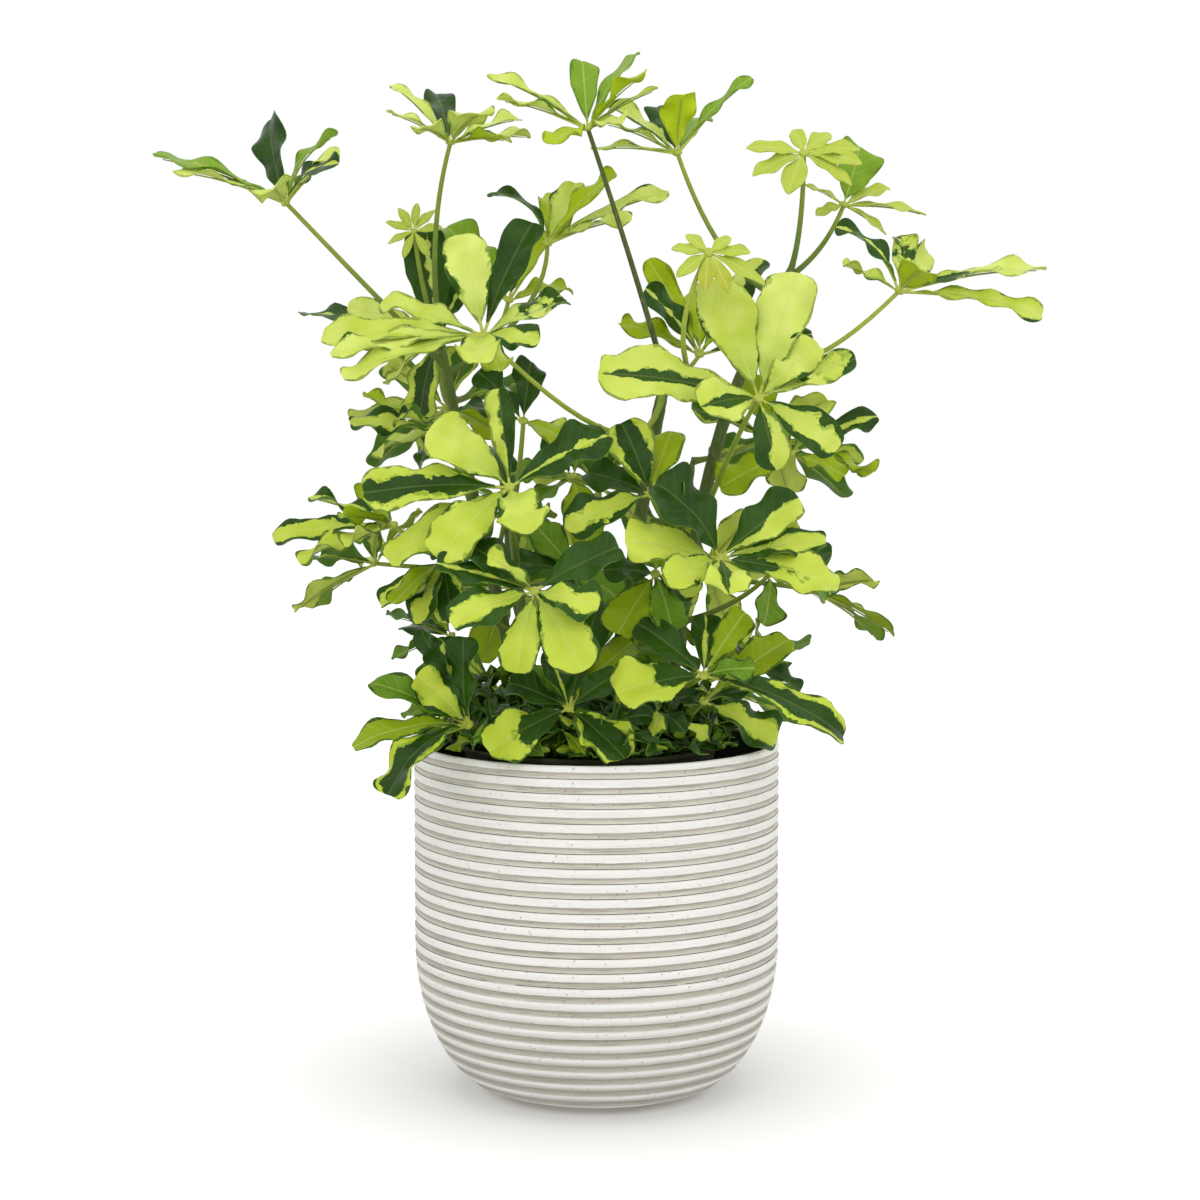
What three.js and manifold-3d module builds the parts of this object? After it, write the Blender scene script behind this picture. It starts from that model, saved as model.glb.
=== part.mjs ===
// A variegated dwarf umbrella plant in its grower pot, standing in a ribbed cover pot.
// Millimetres, +Z up. The origin is the centre of the cover pot's foot and the front is towards -Y.

import * as THREE from 'three';
import { mergeVertices } from 'three/addons/utils/BufferGeometryUtils.js';
import Module from 'manifold-3d';

const wasm = await Module();
wasm.setup();

// Cover pot: a straight ribbed wall that turns into the foot along a quarter ellipse.
const potHeight = 204;
const potRadius = 106;
const footRadius = 54;
const shoulderHeight = 88;
const potWall = 5;
const potFloor = 8;
const hollowFootRadius = 61;
const hollowHeights = [90, 55, 30, 15];
const potSides = 24;
const ribCount = 24;
const ribPitch = 8.24;
const ribTop = 199.8;
const ribShadow = 1.6;
const ribDepth = 1;

// Grower pot: a thin tapered cup with a turned-out lip and drain holes, a little off the axis.
const seatGap = 0.3;
const growerCentre = -4;
const growerTop = 203;
const growerTopRadius = 73;
const growerFootRadius = 55;
const growerWall = 1.5;
const lipReach = 2.5;
const lipHeight = 3;
const growerSides = 24;
const drainHoles = 6;
const drainRadius = 4;
const drainCircle = 36;
const drainSides = 8;

// Soil: a plug that fills the grower pot, with a rough top that rises to the middle.
const soilTop = 188;
const soilRise = 4;
const soilRough = 2.2;
const stemDepth = 22;
const stemGap = 0.4;
const stemSides = 6;

// The leaves are laid out as they are seen from the front. A place is [across, up, back]: across and up
// are read in the plane through the pot's axis, and back moves the point along the line of sight.
const eye = new THREE.Vector3(2, -1518, 420);

// Leaflet: a blade that is widest towards its rounded end, with a waved margin and a keeled rib below.
// Each station is [place along the blade, share of the full width, depth of the rib].
const longStations = [[0.16, 0.13, 1.9], [0.45, 0.74, 1.6], [0.73, 1, 1.4], [0.93, 0.64, 1.2]];
const midStations = [[0.18, 0.14, 1.8], [0.55, 0.9, 1.5], [0.88, 0.84, 1.3]];
const shortStations = [[0.3, 0.4, 1.3], [0.75, 1, 1.2]];
const longLeaflet = 62;
const shortLeaflet = 32;
const bladeArch = 0.1;
const bladeCup = 0.16;
const waveLength = 0.47;
const waveHeight = 0.17;

// Leaf stalk: slender, with a small knob where the leaflets meet.
const stalkRadius = 1.9;
const stalkTipRadius = 1.4;
const stalkSides = 4;
const knobRadius = 3;
const knobShare = 0.1;
const knobCrown = 0.6;
const knobUnderside = 0.55;
const knobDepth = 2.6;
const leastTurn = 0.3;
const neckShrink = 0.5;
const neckSink = 1;

const shoots = {
  shoot_left: {
    stem: [[-38, 16], [-41, 18, 205], [-62, 24, 300], [-82, 24, 389], [-90, 22, 430]],
    radius: [4.2, 2.6],
    leaves: [
      { at: [-177, 512, 5], from: 0.93, via: [-122, 455, 12], lean: [-0.7, 0.15], leaflets: [
        [-76, 26, 0, 21], [-64, 18, -12, 15], [-8, 47, 36, 23], [-7, 8, -44, 24],
        [29, 38, 26, 19, 0.25], [31, 29, -12, 16], [30, 22, -32, 15, 0.25]] },
      { at: [-83, 546, 20], from: 1, via: [-92, 490, 22], lean: [0, 0.1], leaflets: [
        [-33, 32, 16, 15], [-36, 17, -12, 14], [-8, 27, 42, 18], [17, 16, -44, 24],
        [39, 13, 25, 16], [46, 3, -4, 15], [33, 1, -30, 15], [-18, 8, -38, 16]] },
      { at: [-104, 496, 42], from: 0.95, via: [-98, 460, 36], lean: [-0.2, 1.6], leaflets: [
        [16, 2, -3, 5.5], [12, 12, 2, 5.5], [2, 16, 4, 5.5], [-9, 13, 2, 5.5], [-16, 5, -2, 5.5],
        [-15, -7, -6, 5.5], [-6, -15, -8, 5.5], [8, -14, -7, 5.5]] },
      { at: [-50, 457, 52], from: 0.82, via: [-68, 410, 45], lean: [0.1, 0.5], leaflets: [
        [-36, 41, 12, 28], [46, 59, 0, 17], [10, 40, 36, 22], [34, 6, 30, 20], [-32, 8, 40, 20]] },
      { at: [-28, 489, 34], from: 0.9, via: [-42, 450, 36], lean: [0.3, 0.3], leaflets: [
        [-34, 27, 10, 12, 0.5], [16, 34, 14, 18], [39, 40, 2, 16], [69, 29, -6, 15], [48, 14, -26, 15],
        [4, 28, 44, 18]] },
      { at: [-91, 435, 48], from: 0.8, via: [-88, 405, 42], lean: [-0.1, 0.7], leaflets: [
        [-6, 61, 8, 30], [15, 30, 22, 12], [-10, -44, 6, 24], [-51, 18, 12, 16],
        [-78, 14, 26, 17], [-28, -26, 22, 16], [-46, -4, 44, 18]] },
      { at: [-88, 382, -2], from: 0.55, via: [-76, 350, 8], lean: [-0.5, 0.5], leaflets: [
        [-54, 4, -10, 18], [-45, 20, 10, 13], [-27, 8, -30, 14], [-14, -22, 8, 22],
        [-38, -12, 24, 18]] },
      { at: [-84, 264, 22], from: 0.24, lean: [-0.7, 0.2], leaflets: [
        [-38, 12, -4, 20], [-34, -14, -8, 22], [-14, 30, 6, 20], [-16, -24, 22, 22], [-24, 6, 34, 22]] },
      { at: [-52, 338, 44], from: 0.5, lean: [0, -0.3], leaflets: [
        [-32, 16, 14, 22], [-6, 34, 18, 22], [28, -6, 8, 20], [16, -24, 0, 22], [-24, -24, 14, 22]] },
    ],
  },
  shoot_front_left: {
    stem: [[-30, -22], [-32, -24, 205], [-42, -34, 280], [-48, -40, 335]],
    radius: [3.6, 2.2],
    leaves: [
      { at: [-50, 350, -88], from: 0.85, lean: [-0.1, 1.1], leaflets: [
        [-46, 33, -4, 28], [-6, 56, 6, 16], [57, 30, 6, 27], [-84, -4, -10, 27], [-70, -43, -14, 21],
        [-41, -41, -30, 29], [11, -26, -38, 28]] },
      { at: [-88, 308, -62], from: 0.6, lean: [-0.5, 0.9], leaflets: [
        [-36, -27, -8, 18], [-29, -26, -26, 17], [-14, -37, -22, 19], [6, -36, -14, 22],
        [-26, 7, -20, 17]] },
      { at: [-117, 328, -32], from: 0.78, lean: [-0.5, 0.7], leaflets: [
        [-70, -7, -4, 14], [-55, -21, -18, 18], [-48, 16, 14, 14], [-29, 5, -34, 14],
        [-26, -12, -38, 15], [-16, 24, 26, 18]] },
      { at: [-42, 388, -30], from: 1, lean: [0.1, 0.7], leaflets: [
        [-26, 28, -6, 18], [4, 34, 20, 18], [24, -12, -24, 18], [30, -14, 16, 20], [-34, 8, 18, 20]] },
    ],
  },
  shoot_front: {
    stem: [[-2, -38], [-3, -40, 205], [-12, -52, 255]],
    radius: [3.2, 2.2],
    leaves: [
      { at: [-36, 290, -116], from: 1, lean: [-0.1, 1.2], leaflets: [
        [-40, 28, 6, 21], [-27, 21, -18, 13], [-56, 15, -4, 16], [49, 25, 8, 25], [-48, -19, -22, 26],
        [-10, -48, -18, 22], [28, -47, -20, 29], [37, -10, -22, 23]] },
      { at: [-16, 222, -80], from: 0.62, lean: [0, 0.9], leaflets: [
        [-46, -26, -18, 29], [32, -30, -22, 30], [-36, 15, 4, 19], [-28, 22, 22, 16], [-12, 33, 8, 17],
        [18, 62, 34, 21], [36, 38, 24, 24], [29, 20, 0, 15]] },
    ],
  },
  shoot_low_left: {
    stem: [[-46, -28], [-48, -31, 205], [-56, -44, 216]],
    radius: [2.8, 2],
    leaves: [
      { at: [-74, 212, -74], from: 1, lean: [-0.6, 0.8], leaflets: [
        [-16, 50, 10, 21], [-2, 52, -6, 19], [-47, -42, -40, 29, 0.3], [-31, 29, -6, 22],
        [-67, -13, -16, 19, 0.2], [-57, 25, -6, 20], [-27, 56, 16, 15]] },
    ],
  },
  shoot_front_right: {
    stem: [[30, -26], [31, -28, 205], [42, -40, 270], [50, -46, 322]],
    radius: [3.8, 2.2],
    leaves: [
      { at: [71, 309, -88], from: 0.82, lean: [0.2, 1.1], leaflets: [
        [-38, 43, -6, 34, 0.3], [-55, 9, -18, 28], [-30, -14, -32, 21], [5, -20, -42, 24],
        [69, -17, -12, 26], [45, 34, 2, 25], [61, 10, 2, 18]] },
      { at: [62, 241, -92], from: 0.5, lean: [0.1, 0.9], leaflets: [
        [-51, -11, -26, 32], [81, -36, 0, 23, 0.2], [-38, 30, 10, 18], [1, 35, 14, 16], [29, 4, -12, 15],
        [24, 37, 10, 17], [-36, 16, 24, 16]] },
      { at: [62, 226, -58], from: 0.3, via: [75, 236, -44], lean: [0.3, 0.9], leaflets: [
        [42, -24, 4, 26], [-14, -24, 24, 18], [50, 36, 26, 22], [34, 8, 30, 16]] },
      { at: [31, 346, -72], from: 1, lean: [0, 1], leaflets: [
        [-17, 41, 0, 27], [-48, -20, -14, 25], [12, 36, 18, 20], [-36, 12, 16, 20], [18, -2, -24, 18]] },
      { at: [34, 300, -60], from: 0.66, lean: [0.1, 1.1], leaflets: [
        [-22, -36, -14, 26], [10, -34, -22, 22], [-30, 2, -18, 20], [24, -12, -12, 20],
        [2, 26, -10, 18]] },
    ],
  },
  shoot_tall_right: {
    stem: [[38, 14], [40, 15, 205], [54, 12, 300], [74, 4, 390], [100, -4, 452], [110, -5, 472]],
    radius: [4.6, 2.8],
    leaves: [
      { at: [118, 540, -16], from: 1, via: [116, 500, -10], lean: [0, 1], leaflets: [
        [-33, 3, -2, 11], [-29, -13, -8, 13], [-9, -23, -12, 14], [-6, 13, 10, 10], [15, 11, 10, 12],
        [32, 2, 2, 11], [33, -6, -4, 12], [27, -18, -10, 10]] },
      { at: [141, 511, 10], from: 0.97, lean: [0.4, 0.3], leaflets: [
        [8, 33, 12, 28], [26, 9, 8, 15], [47, -6, -2, 13], [-23, 11, 4, 11], [-16, -6, -6, 10],
        [24, -17, -6, 10]] },
      { at: [173, 462, -20], from: 0.72, via: [122, 424, -10], lean: [0.6, 0.4], leaflets: [
        [-36, 36, 12, 15, 0.3], [-33, 15, -6, 11], [2, 32, 20, 15], [12, 12, -40, 22], [85, 12, -4, 21],
        [82, -14, -14, 15], [16, 22, 34, 16]] },
      { at: [93, 401, -66], from: 0.45, via: [78, 372, -30], lean: [0, 1.7], leaflets: [
        [-92, 14, -12, 34], [-28, 67, 6, 32], [21, 71, 14, 31], [55, 22, -2, 17], [46, -29, -8, 24],
        [10, -41, -12, 21], [-33, -5, -32, 28], [34, 31, 0, 22]] },
      { at: [111, 369, 2], from: 0.52, lean: [0.5, 0.6], leaflets: [
        [-14, 20, 6, 22], [50, 22, 8, 15], [50, -11, 2, 14], [32, -13, -26, 16], [-40, -20, -12, 24],
        [22, 20, 34, 19]] },
      { at: [100, 300, 6], from: 0.34, lean: [0.7, 0.3], leaflets: [
        [36, 12, -6, 22], [32, -16, -4, 22], [12, 34, 2, 20], [-4, -30, -14, 22], [20, 4, 34, 22]] },
      { at: [90, 246, 18], from: 0.2, lean: [0.7, 0.3], leaflets: [
        [34, 14, -10, 22], [28, -14, 10, 20], [2, 28, -8, 20], [14, 4, 34, 22], [-20, 20, 12, 20]] },
      { at: [64, 484, -84], from: 0.6, via: [50, 428, -66], lean: [0, 1.4], leaflets: [
        [-21, 2, -2, 8], [-13, 10, 2, 7.5], [13, 8, 4, 7.5], [24, 0, 2, 7.5], [-18, -14, -6, 8.5],
        [-2, -22, -6, 9], [12, -23, -4, 9], [32, -18, 2, 9]] },
      { at: [46, 540, 26], from: 0.86, via: [72, 486, 12], lean: [-0.2, 0.1], leaflets: [
        [-43, 17, 4, 19], [-39, 28, 18, 15], [-49, 2, -4, 14], [-12, 26, 34, 16], [3, 33, -20, 22],
        [42, 42, 10, 12], [16, 20, 38, 15]] },
    ],
  },
  shoot_tall_centre: {
    stem: [[6, 6], [7, 7, 205], [22, 8, 310], [36, 8, 394], [40, 8, 412]],
    radius: [5, 3],
    leaves: [
      { at: [-5, 554, 0], from: 1, via: [18, 484, 4], lean: [-0.1, 0.1], leaflets: [
        [-57, 30, -2, 13], [-51, 16, -16, 15], [33, 31, -16, 24], [-3, 37, 22, 17], [29, 43, 24, 17],
        [40, 22, 4, 13], [-19, -9, -38, 20], [20, 3, -36, 15]] },
      { at: [-65, 437, -48], from: 0.88, via: [8, 382, -22], lean: [-0.2, 0.7], leaflets: [
        [-12, 57, 8, 26], [29, 64, 22, 19], [-58, 18, 14, 18], [-92, -2, -2, 20], [-80, -24, -26, 20],
        [-87, -11, -14, 17], [-3, -16, -46, 24], [10, -21, -32, 16], [32, -4, -24, 19],
        [48, 19, 10, 24]] },
      { at: [59, 426, 46], from: 0.95, lean: [0, 0.7], leaflets: [
        [-46, 18, 4, 17], [-30, 54, 6, 15], [-31, 37, -12, 18], [37, 54, 4, 18], [29, 34, -12, 19],
        [65, 11, 2, 19], [0, 36, 30, 20]] },
      { at: [-12, 300, 4], from: 0.4, lean: [-0.3, 0.7], leaflets: [
        [-38, 6, -8, 24], [-24, 28, 8, 22], [14, 34, 0, 24], [24, -14, -28, 24], [-16, -24, -22, 24]] },
      { at: [-14, 356, 30], from: 0.6, lean: [-0.2, 0.3], leaflets: [
        [-36, 0, -8, 22], [-20, 30, 0, 22], [14, 30, 10, 22], [8, -28, -14, 22], [-24, -20, -8, 22]] },
      { at: [24, 268, 36], from: 0.26, lean: [0.1, -0.4], leaflets: [
        [-34, 2, 4, 22], [-6, 30, -10, 22], [26, 22, -8, 20], [34, -8, 8, 22], [-4, -28, 4, 22]] },
      { at: [8, 232, -18], from: 0.16, lean: [0.1, 0.6], leaflets: [
        [-26, -6, -12, 20], [-14, 18, 8, 18], [16, 14, -10, 20], [6, -16, -26, 20]] },
    ],
  },
  shoot_back_left: {
    stem: [[-30, 44], [-32, 47, 205], [-50, 64, 290], [-56, 80, 352]],
    radius: [3.8, 2.2],
    leaves: [
      { at: [-86, 396, 104], from: 1, lean: [-0.4, -0.6], leaflets: [
        [-56, -8, 4, 24], [-34, 24, -26, 22], [14, 34, -30, 24], [46, 14, -2, 24], [34, -18, 40, 24],
        [-6, -30, 52, 26], [-42, -34, 28, 22]] },
      { at: [-128, 306, 66], from: 0.7, lean: [-0.8, -0.3], leaflets: [
        [-46, -28, -6, 22], [-32, 4, -34, 20], [4, 26, -34, 20], [28, 30, 14, 20], [0, 4, 44, 22],
        [-36, -26, 30, 22]] },
      { at: [-50, 292, 138], from: 0.62, lean: [-0.2, -0.9], leaflets: [
        [-50, -2, 6, 24], [-28, 34, -22, 22], [18, 40, -18, 22], [44, 6, 10, 24], [28, -34, 36, 24],
        [-16, -44, 34, 26]] },
    ],
  },
  shoot_back_right: {
    stem: [[28, 46], [30, 49, 205], [46, 68, 290], [58, 78, 362]],
    radius: [3.8, 2.2],
    leaves: [
      { at: [98, 378, 96], from: 1, lean: [0.4, -0.6], leaflets: [
        [54, -14, -2, 24], [34, 22, -24, 22], [-10, 36, -26, 24], [-44, 18, 6, 24], [-30, -14, 46, 24],
        [12, -32, 50, 26], [46, -34, 24, 22]] },
      { at: [126, 290, 70], from: 0.68, lean: [0.8, -0.3], leaflets: [
        [46, -26, -4, 22], [34, 6, -32, 20], [-4, 28, -32, 20], [-26, 30, 16, 20], [2, 2, 44, 22],
        [36, -28, 30, 22]] },
      { at: [62, 302, 146], from: 0.62, lean: [0.3, -0.9], leaflets: [
        [48, -4, 6, 24], [28, 32, -22, 22], [-18, 38, -20, 22], [-42, 8, 10, 24], [-24, -34, 36, 24],
        [18, -44, 34, 26]] },
    ],
  },
  shoot_back: {
    stem: [[0, 56], [0, 58, 205], [-3, 72, 258]],
    radius: [3, 2],
    leaves: [
      { at: [2, 350, 112], from: 1, lean: [0, -0.6], leaflets: [
        [-44, 6, 8, 24], [-24, 28, -28, 22], [18, 30, -30, 22], [46, 4, 6, 24], [30, -28, 40, 24],
        [-14, -34, 46, 24]] },
      { at: [-60, 234, 98], from: 0.55, lean: [-0.5, -0.6], leaflets: [
        [-52, -18, 8, 24, 0.2], [-28, 26, -12, 20], [22, 28, 0, 20], [34, -2, 34, 22],
        [-10, -14, 50, 26, 0.25]] },
      { at: [60, 232, 96], from: 0.5, lean: [0.5, -0.6], leaflets: [
        [52, -18, 8, 24, 0.2], [26, 28, -12, 20], [-18, 32, 0, 20], [-32, 0, 34, 22],
        [12, -14, 50, 26, 0.25]] },
      { at: [2, 252, 120], from: 0.8, lean: [0, -0.9], leaflets: [
        [-36, 14, 4, 22], [4, 34, -10, 22], [38, 10, 6, 22], [20, -26, 30, 24], [-20, -26, 28, 24]] },
    ],
  },
};

const materials = {
  cover_pot: new THREE.MeshStandardMaterial({ color: 0xebe9e3, roughness: 0.85, metalness: 0 }),
  grower_pot: new THREE.MeshStandardMaterial({ color: 0x2c2d26, roughness: 0.5, metalness: 0 }),
  potting_soil: new THREE.MeshStandardMaterial({ color: 0x241c12, roughness: 1, metalness: 0 }),
  shoot: new THREE.MeshStandardMaterial({ color: 0x97ac36, roughness: 0.45, metalness: 0 }),
};

// A number from 0 to 1 that looks random and is the same each time for the same whole number.
function chance(n) {
  const s = Math.sin(n * 12.9898) * 43758.5453;
  return s - Math.floor(s);
}

// A place seen from the front, as a point in the part's own frame.
function seen([across, up, back]) {
  const onAxis = new THREE.Vector3(across, 0, up);
  return onAxis.sub(eye).multiplyScalar(1 + back / -eye.y).add(eye);
}

function meshOf(points, faces) {
  const geometry = new THREE.BufferGeometry();
  const numbers = points.flatMap((point) => point.toArray());
  geometry.setAttribute('position', new THREE.Float32BufferAttribute(numbers, 3));
  geometry.setIndex(faces.flat());
  return geometry;
}

// A three.js geometry as a solid: shared vertices are merged and collapsed triangles dropped.
function solidOf(geometry) {
  const plain = new THREE.BufferGeometry();
  plain.setAttribute('position', geometry.getAttribute('position').clone());
  if (geometry.index) plain.setIndex(geometry.index.clone());
  const merged = mergeVertices(plain, 1e-3);
  const index = merged.index.array;
  const triangles = [];
  for (let i = 0; i < index.length; i += 3) {
    const [a, b, c] = index.slice(i, i + 3);
    if (a !== b && b !== c && c !== a) triangles.push(a, b, c);
  }
  const mesh = new wasm.Mesh({
    numProp: 3,
    vertProperties: merged.attributes.position.array,
    triVerts: new Uint32Array(triangles),
  });
  return new wasm.Manifold(mesh);
}

function geometryOf(solid) {
  const mesh = solid.getMesh();
  const geometry = new THREE.BufferGeometry();
  geometry.setAttribute('position', new THREE.BufferAttribute(new Float32Array(mesh.vertProperties), 3));
  geometry.setIndex(new THREE.BufferAttribute(new Uint32Array(mesh.triVerts), 1));
  return geometry;
}

// A solid of revolution about +Z. The outline is a list of [radius, height], foot first.
function turned(outline, sides) {
  const points = outline.map(([r, z]) => new THREE.Vector2(r, z));
  return new THREE.LatheGeometry(points, sides).rotateX(Math.PI / 2);
}

// A closed tube with its own radius at each point.
function tube(centres, radii, sides) {
  const points = [];
  const faces = [];
  let side = new THREE.Vector3(0, 1, 0);
  centres.forEach((centre, i) => {
    const ahead = centres[Math.min(i + 1, centres.length - 1)];
    const behind = centres[Math.max(i - 1, 0)];
    const along = ahead.clone().sub(behind).normalize();
    side = side.clone().addScaledVector(along, -side.dot(along)).normalize();
    const other = along.clone().cross(side);
    for (let k = 0; k < sides; k += 1) {
      const turn = 2 * Math.PI * k / sides;
      const out = side.clone().multiplyScalar(Math.cos(turn)).addScaledVector(other, Math.sin(turn));
      points.push(centre.clone().addScaledVector(out, radii[i]));
    }
  });
  const last = (centres.length - 1) * sides;
  for (let i = 0; i < last; i += sides) {
    for (let k = 0; k < sides; k += 1) {
      const next = (k + 1) % sides;
      faces.push([i + k, i + next, i + sides + next], [i + k, i + sides + next, i + sides + k]);
    }
  }
  for (let k = 1; k < sides - 1; k += 1) {
    faces.push([0, k + 1, k], [last, last + k, last + k + 1]);
  }
  return meshOf(points, faces);
}

// Outside of the cover pot: the radius at a height, before the ribs.
function potRadiusAt(height, radius, foot, shoulder) {
  const rise = Math.min(height / shoulder, 1);
  return foot + (radius - foot) * Math.sqrt(1 - (1 - rise) ** 2);
}

function coverPot() {
  const outer = (height) => potRadiusAt(height, potRadius, footRadius, shoulderHeight);
  const outline = [[0, 0], [footRadius, 0]];
  for (let i = ribCount - 1; i >= 0; i -= 1) {
    const height = ribTop - i * ribPitch;
    outline.push([outer(height - ribShadow) - ribDepth, height - ribShadow]);
    outline.push([outer(height), height]);
  }
  outline.push([potRadius, potHeight], [potRadius - potWall, potHeight]);
  for (const height of hollowHeights) {
    const radius = potRadiusAt(height - potFloor, potRadius - potWall, hollowFootRadius, shoulderHeight);
    outline.push([radius, height]);
  }
  outline.push([hollowFootRadius, potFloor], [0, potFloor]);
  return turned(outline, potSides);
}

function growerRadiusAt(height) {
  const foot = potFloor + seatGap;
  return growerFootRadius + (growerTopRadius - growerFootRadius) * (height - foot) / (growerTop - foot);
}

function growerPot() {
  const foot = potFloor + seatGap;
  const floor = foot + growerWall;
  const lipUnderside = growerTop - lipHeight;
  const outline = [
    [0, foot],
    [growerFootRadius, foot],
    [growerRadiusAt(lipUnderside), lipUnderside],
    [growerTopRadius + lipReach, lipUnderside],
    [growerTopRadius + lipReach, growerTop],
    [growerTopRadius - growerWall, growerTop],
    [growerRadiusAt(floor) - growerWall, floor],
    [0, floor],
  ];
  let pot = solidOf(turned(outline, growerSides));
  const cutter = new THREE.CylinderGeometry(drainRadius, drainRadius, 4 * growerWall, drainSides);
  cutter.rotateX(Math.PI / 2);
  for (let i = 0; i < drainHoles; i += 1) {
    const turn = 2 * Math.PI * i / drainHoles;
    const hole = cutter.clone().translate(drainCircle * Math.cos(turn), drainCircle * Math.sin(turn), foot);
    pot = pot.subtract(solidOf(hole));
  }
  return geometryOf(pot).translate(growerCentre, 0, 0);
}

// The stem's centre line from the bottom of its hole in the soil, with a tapered ring at each step.
function stemRings(shoot) {
  const places = shoot.stem.map(([x, y, z = soilTop - stemDepth]) => new THREE.Vector3(x, y, z));
  const line = new THREE.CatmullRomCurve3(places);
  const steps = shoot.stem.length + 1;
  const [thick, thin] = shoot.radius;
  const radii = Array.from({ length: steps + 1 }, (_, i) => thick + (thin - thick) * i / steps);
  return { line, centres: line.getPoints(steps), radii };
}

// The height of the soil's top at a share of its radius, in a given direction.
function soilHeight(share, turn) {
  const rough = Math.sin(3 * turn + 9 * share) + Math.sin(5 * turn - 14 * share + 1);
  return soilTop + soilRise * (1 - share * share) + soilRough * share * rough / 2;
}

function pottingSoil() {
  const rings = [1, 0.68, 0.36];
  const bottom = potFloor + 2 * seatGap + growerWall;
  const radiusAt = (height) => growerRadiusAt(height) - growerWall - seatGap;
  const points = [new THREE.Vector3(0, 0, bottom), new THREE.Vector3(0, 0, soilHeight(0, 0))];
  const faces = [];
  for (let k = 0; k < growerSides; k += 1) {
    const turn = 2 * Math.PI * k / growerSides;
    const out = new THREE.Vector3(Math.cos(turn), Math.sin(turn), 0);
    points.push(out.clone().multiplyScalar(radiusAt(bottom)).setZ(bottom));
    for (const share of rings) {
      const height = soilHeight(share, turn);
      points.push(out.clone().multiplyScalar(share * radiusAt(soilTop)).setZ(height));
    }
  }
  const count = rings.length + 1;
  for (let k = 0; k < growerSides; k += 1) {
    const here = 2 + k * count;
    const next = 2 + (k + 1) % growerSides * count;
    faces.push([0, next, here], [1, here + count - 1, next + count - 1]);
    for (let i = 0; i < rings.length; i += 1) {
      faces.push([here + i, next + i, next + i + 1], [here + i, next + i + 1, here + i + 1]);
    }
  }
  let soil = solidOf(meshOf(points, faces).translate(growerCentre, 0, 0));
  for (const shoot of Object.values(shoots)) {
    const { centres, radii } = stemRings(shoot);
    const low = centres[0].clone().setZ(centres[0].z - seatGap);
    const hole = tube([low, ...centres.slice(1, 3)], radii.slice(0, 3).map((r) => r + stemGap), stemSides);
    soil = soil.subtract(solidOf(hole));
  }
  return geometryOf(soil);
}

// The cross-sections of one leaflet from its neck to near its tip, each [edge, edge, rib].
function leafletSections(root, tip, width, facing, arch, seed) {
  const along = tip.clone().sub(root);
  const length = along.length();
  along.normalize();
  const up = facing.clone().addScaledVector(along, -facing.dot(along)).normalize();
  const bend = root.clone().lerp(tip, 0.5).addScaledVector(up, length * arch);
  const rib = new THREE.QuadraticBezierCurve3(root, bend, tip);
  const stations = length > longLeaflet ? longStations : length > shortLeaflet ? midStations : shortStations;
  return stations.map(([place, share, depth]) => {
    const middle = rib.getPoint(place);
    const ahead = rib.getTangent(place);
    const across = up.clone().cross(ahead).normalize();
    const over = ahead.clone().cross(across);
    const reach = share * width / 2;
    const edge = (sign) => {
      const wave = Math.sin(2 * Math.PI * (place / waveLength + chance(seed + sign)));
      const lift = reach * bladeCup + width * waveHeight * wave * share;
      return middle.clone().addScaledVector(across, sign * reach).addScaledVector(over, lift);
    };
    return [edge(-1), edge(1), middle.clone().addScaledVector(over, -depth)];
  });
}

// The faces of a leaflet whose sections start at point number first and whose tip is the last point.
function leafletFaces(first, count, tip) {
  const faces = [];
  for (let i = 0; i < count - 1; i += 1) {
    const [a, b, c] = [first + 3 * i, first + 3 * i + 1, first + 3 * i + 2];
    const [d, e, f] = [a + 3, b + 3, c + 3];
    faces.push([a, d, e], [a, e, b], [a, c, d], [c, f, d], [b, e, c], [c, e, f]);
  }
  const [a, b, c] = [0, 1, 2].map((k) => first + 3 * (count - 1) + k);
  faces.push([a, tip, b], [a, c, tip], [b, tip, c]);
  return faces;
}

// A leaflet as a solid of its own, closed at its first section.
function looseLeaflet(sections, tip) {
  const points = [...sections.flat(), tip];
  return solidOf(meshOf(points, [[0, 1, 2], ...leafletFaces(0, sections.length, points.length - 1)]));
}

// Leaflets in a ring round their knob, in one closed mesh. Each starts on a port between two shared corners.
function leafletRing(ring, knob, facing, radius, basis) {
  const [east, north] = basis;
  const spoke = (turn) => east.clone().multiplyScalar(Math.cos(turn)).addScaledVector(north, Math.sin(turn));
  const points = [
    knob.clone().addScaledVector(facing, knobCrown * radius),
    knob.clone().addScaledVector(facing, -knobDepth),
  ];
  const corners = ring.map(({ turn }, i) => {
    const next = i + 1 < ring.length ? ring[i + 1].turn : ring[0].turn + 2 * Math.PI;
    return spoke((turn + next) / 2).multiplyScalar(radius).add(knob);
  });
  points.push(...corners);
  const faces = [];
  ring.forEach(({ turn, sections, tip }, i) => {
    const before = 2 + (i + ring.length - 1) % ring.length;
    const after = 2 + i;
    const under = points.length;
    points.push(spoke(turn).addScaledVector(facing, -knobUnderside).multiplyScalar(radius).add(knob));
    const first = points.length;
    points.push(...sections.flat(), tip);
    const [a, b, c] = [first, first + 1, first + 2];
    faces.push([0, before, after], [1, under, before], [1, after, under]);
    faces.push([before, a, b], [before, b, after], [before, under, a], [under, c, a]);
    faces.push([after, b, under], [under, b, c], ...leafletFaces(first, sections.length, points.length - 1));
  });
  return solidOf(meshOf(points, faces));
}

// A leaf's stalk, from the stem to the point where its leaflets meet.
function stalk(start, bend, knob) {
  const line = new THREE.QuadraticBezierCurve3(start, bend, knob);
  const radii = [stalkRadius, stalkRadius, stalkTipRadius, stalkTipRadius];
  return solidOf(tube(line.getPoints(radii.length - 1), radii, stalkSides));
}

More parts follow.
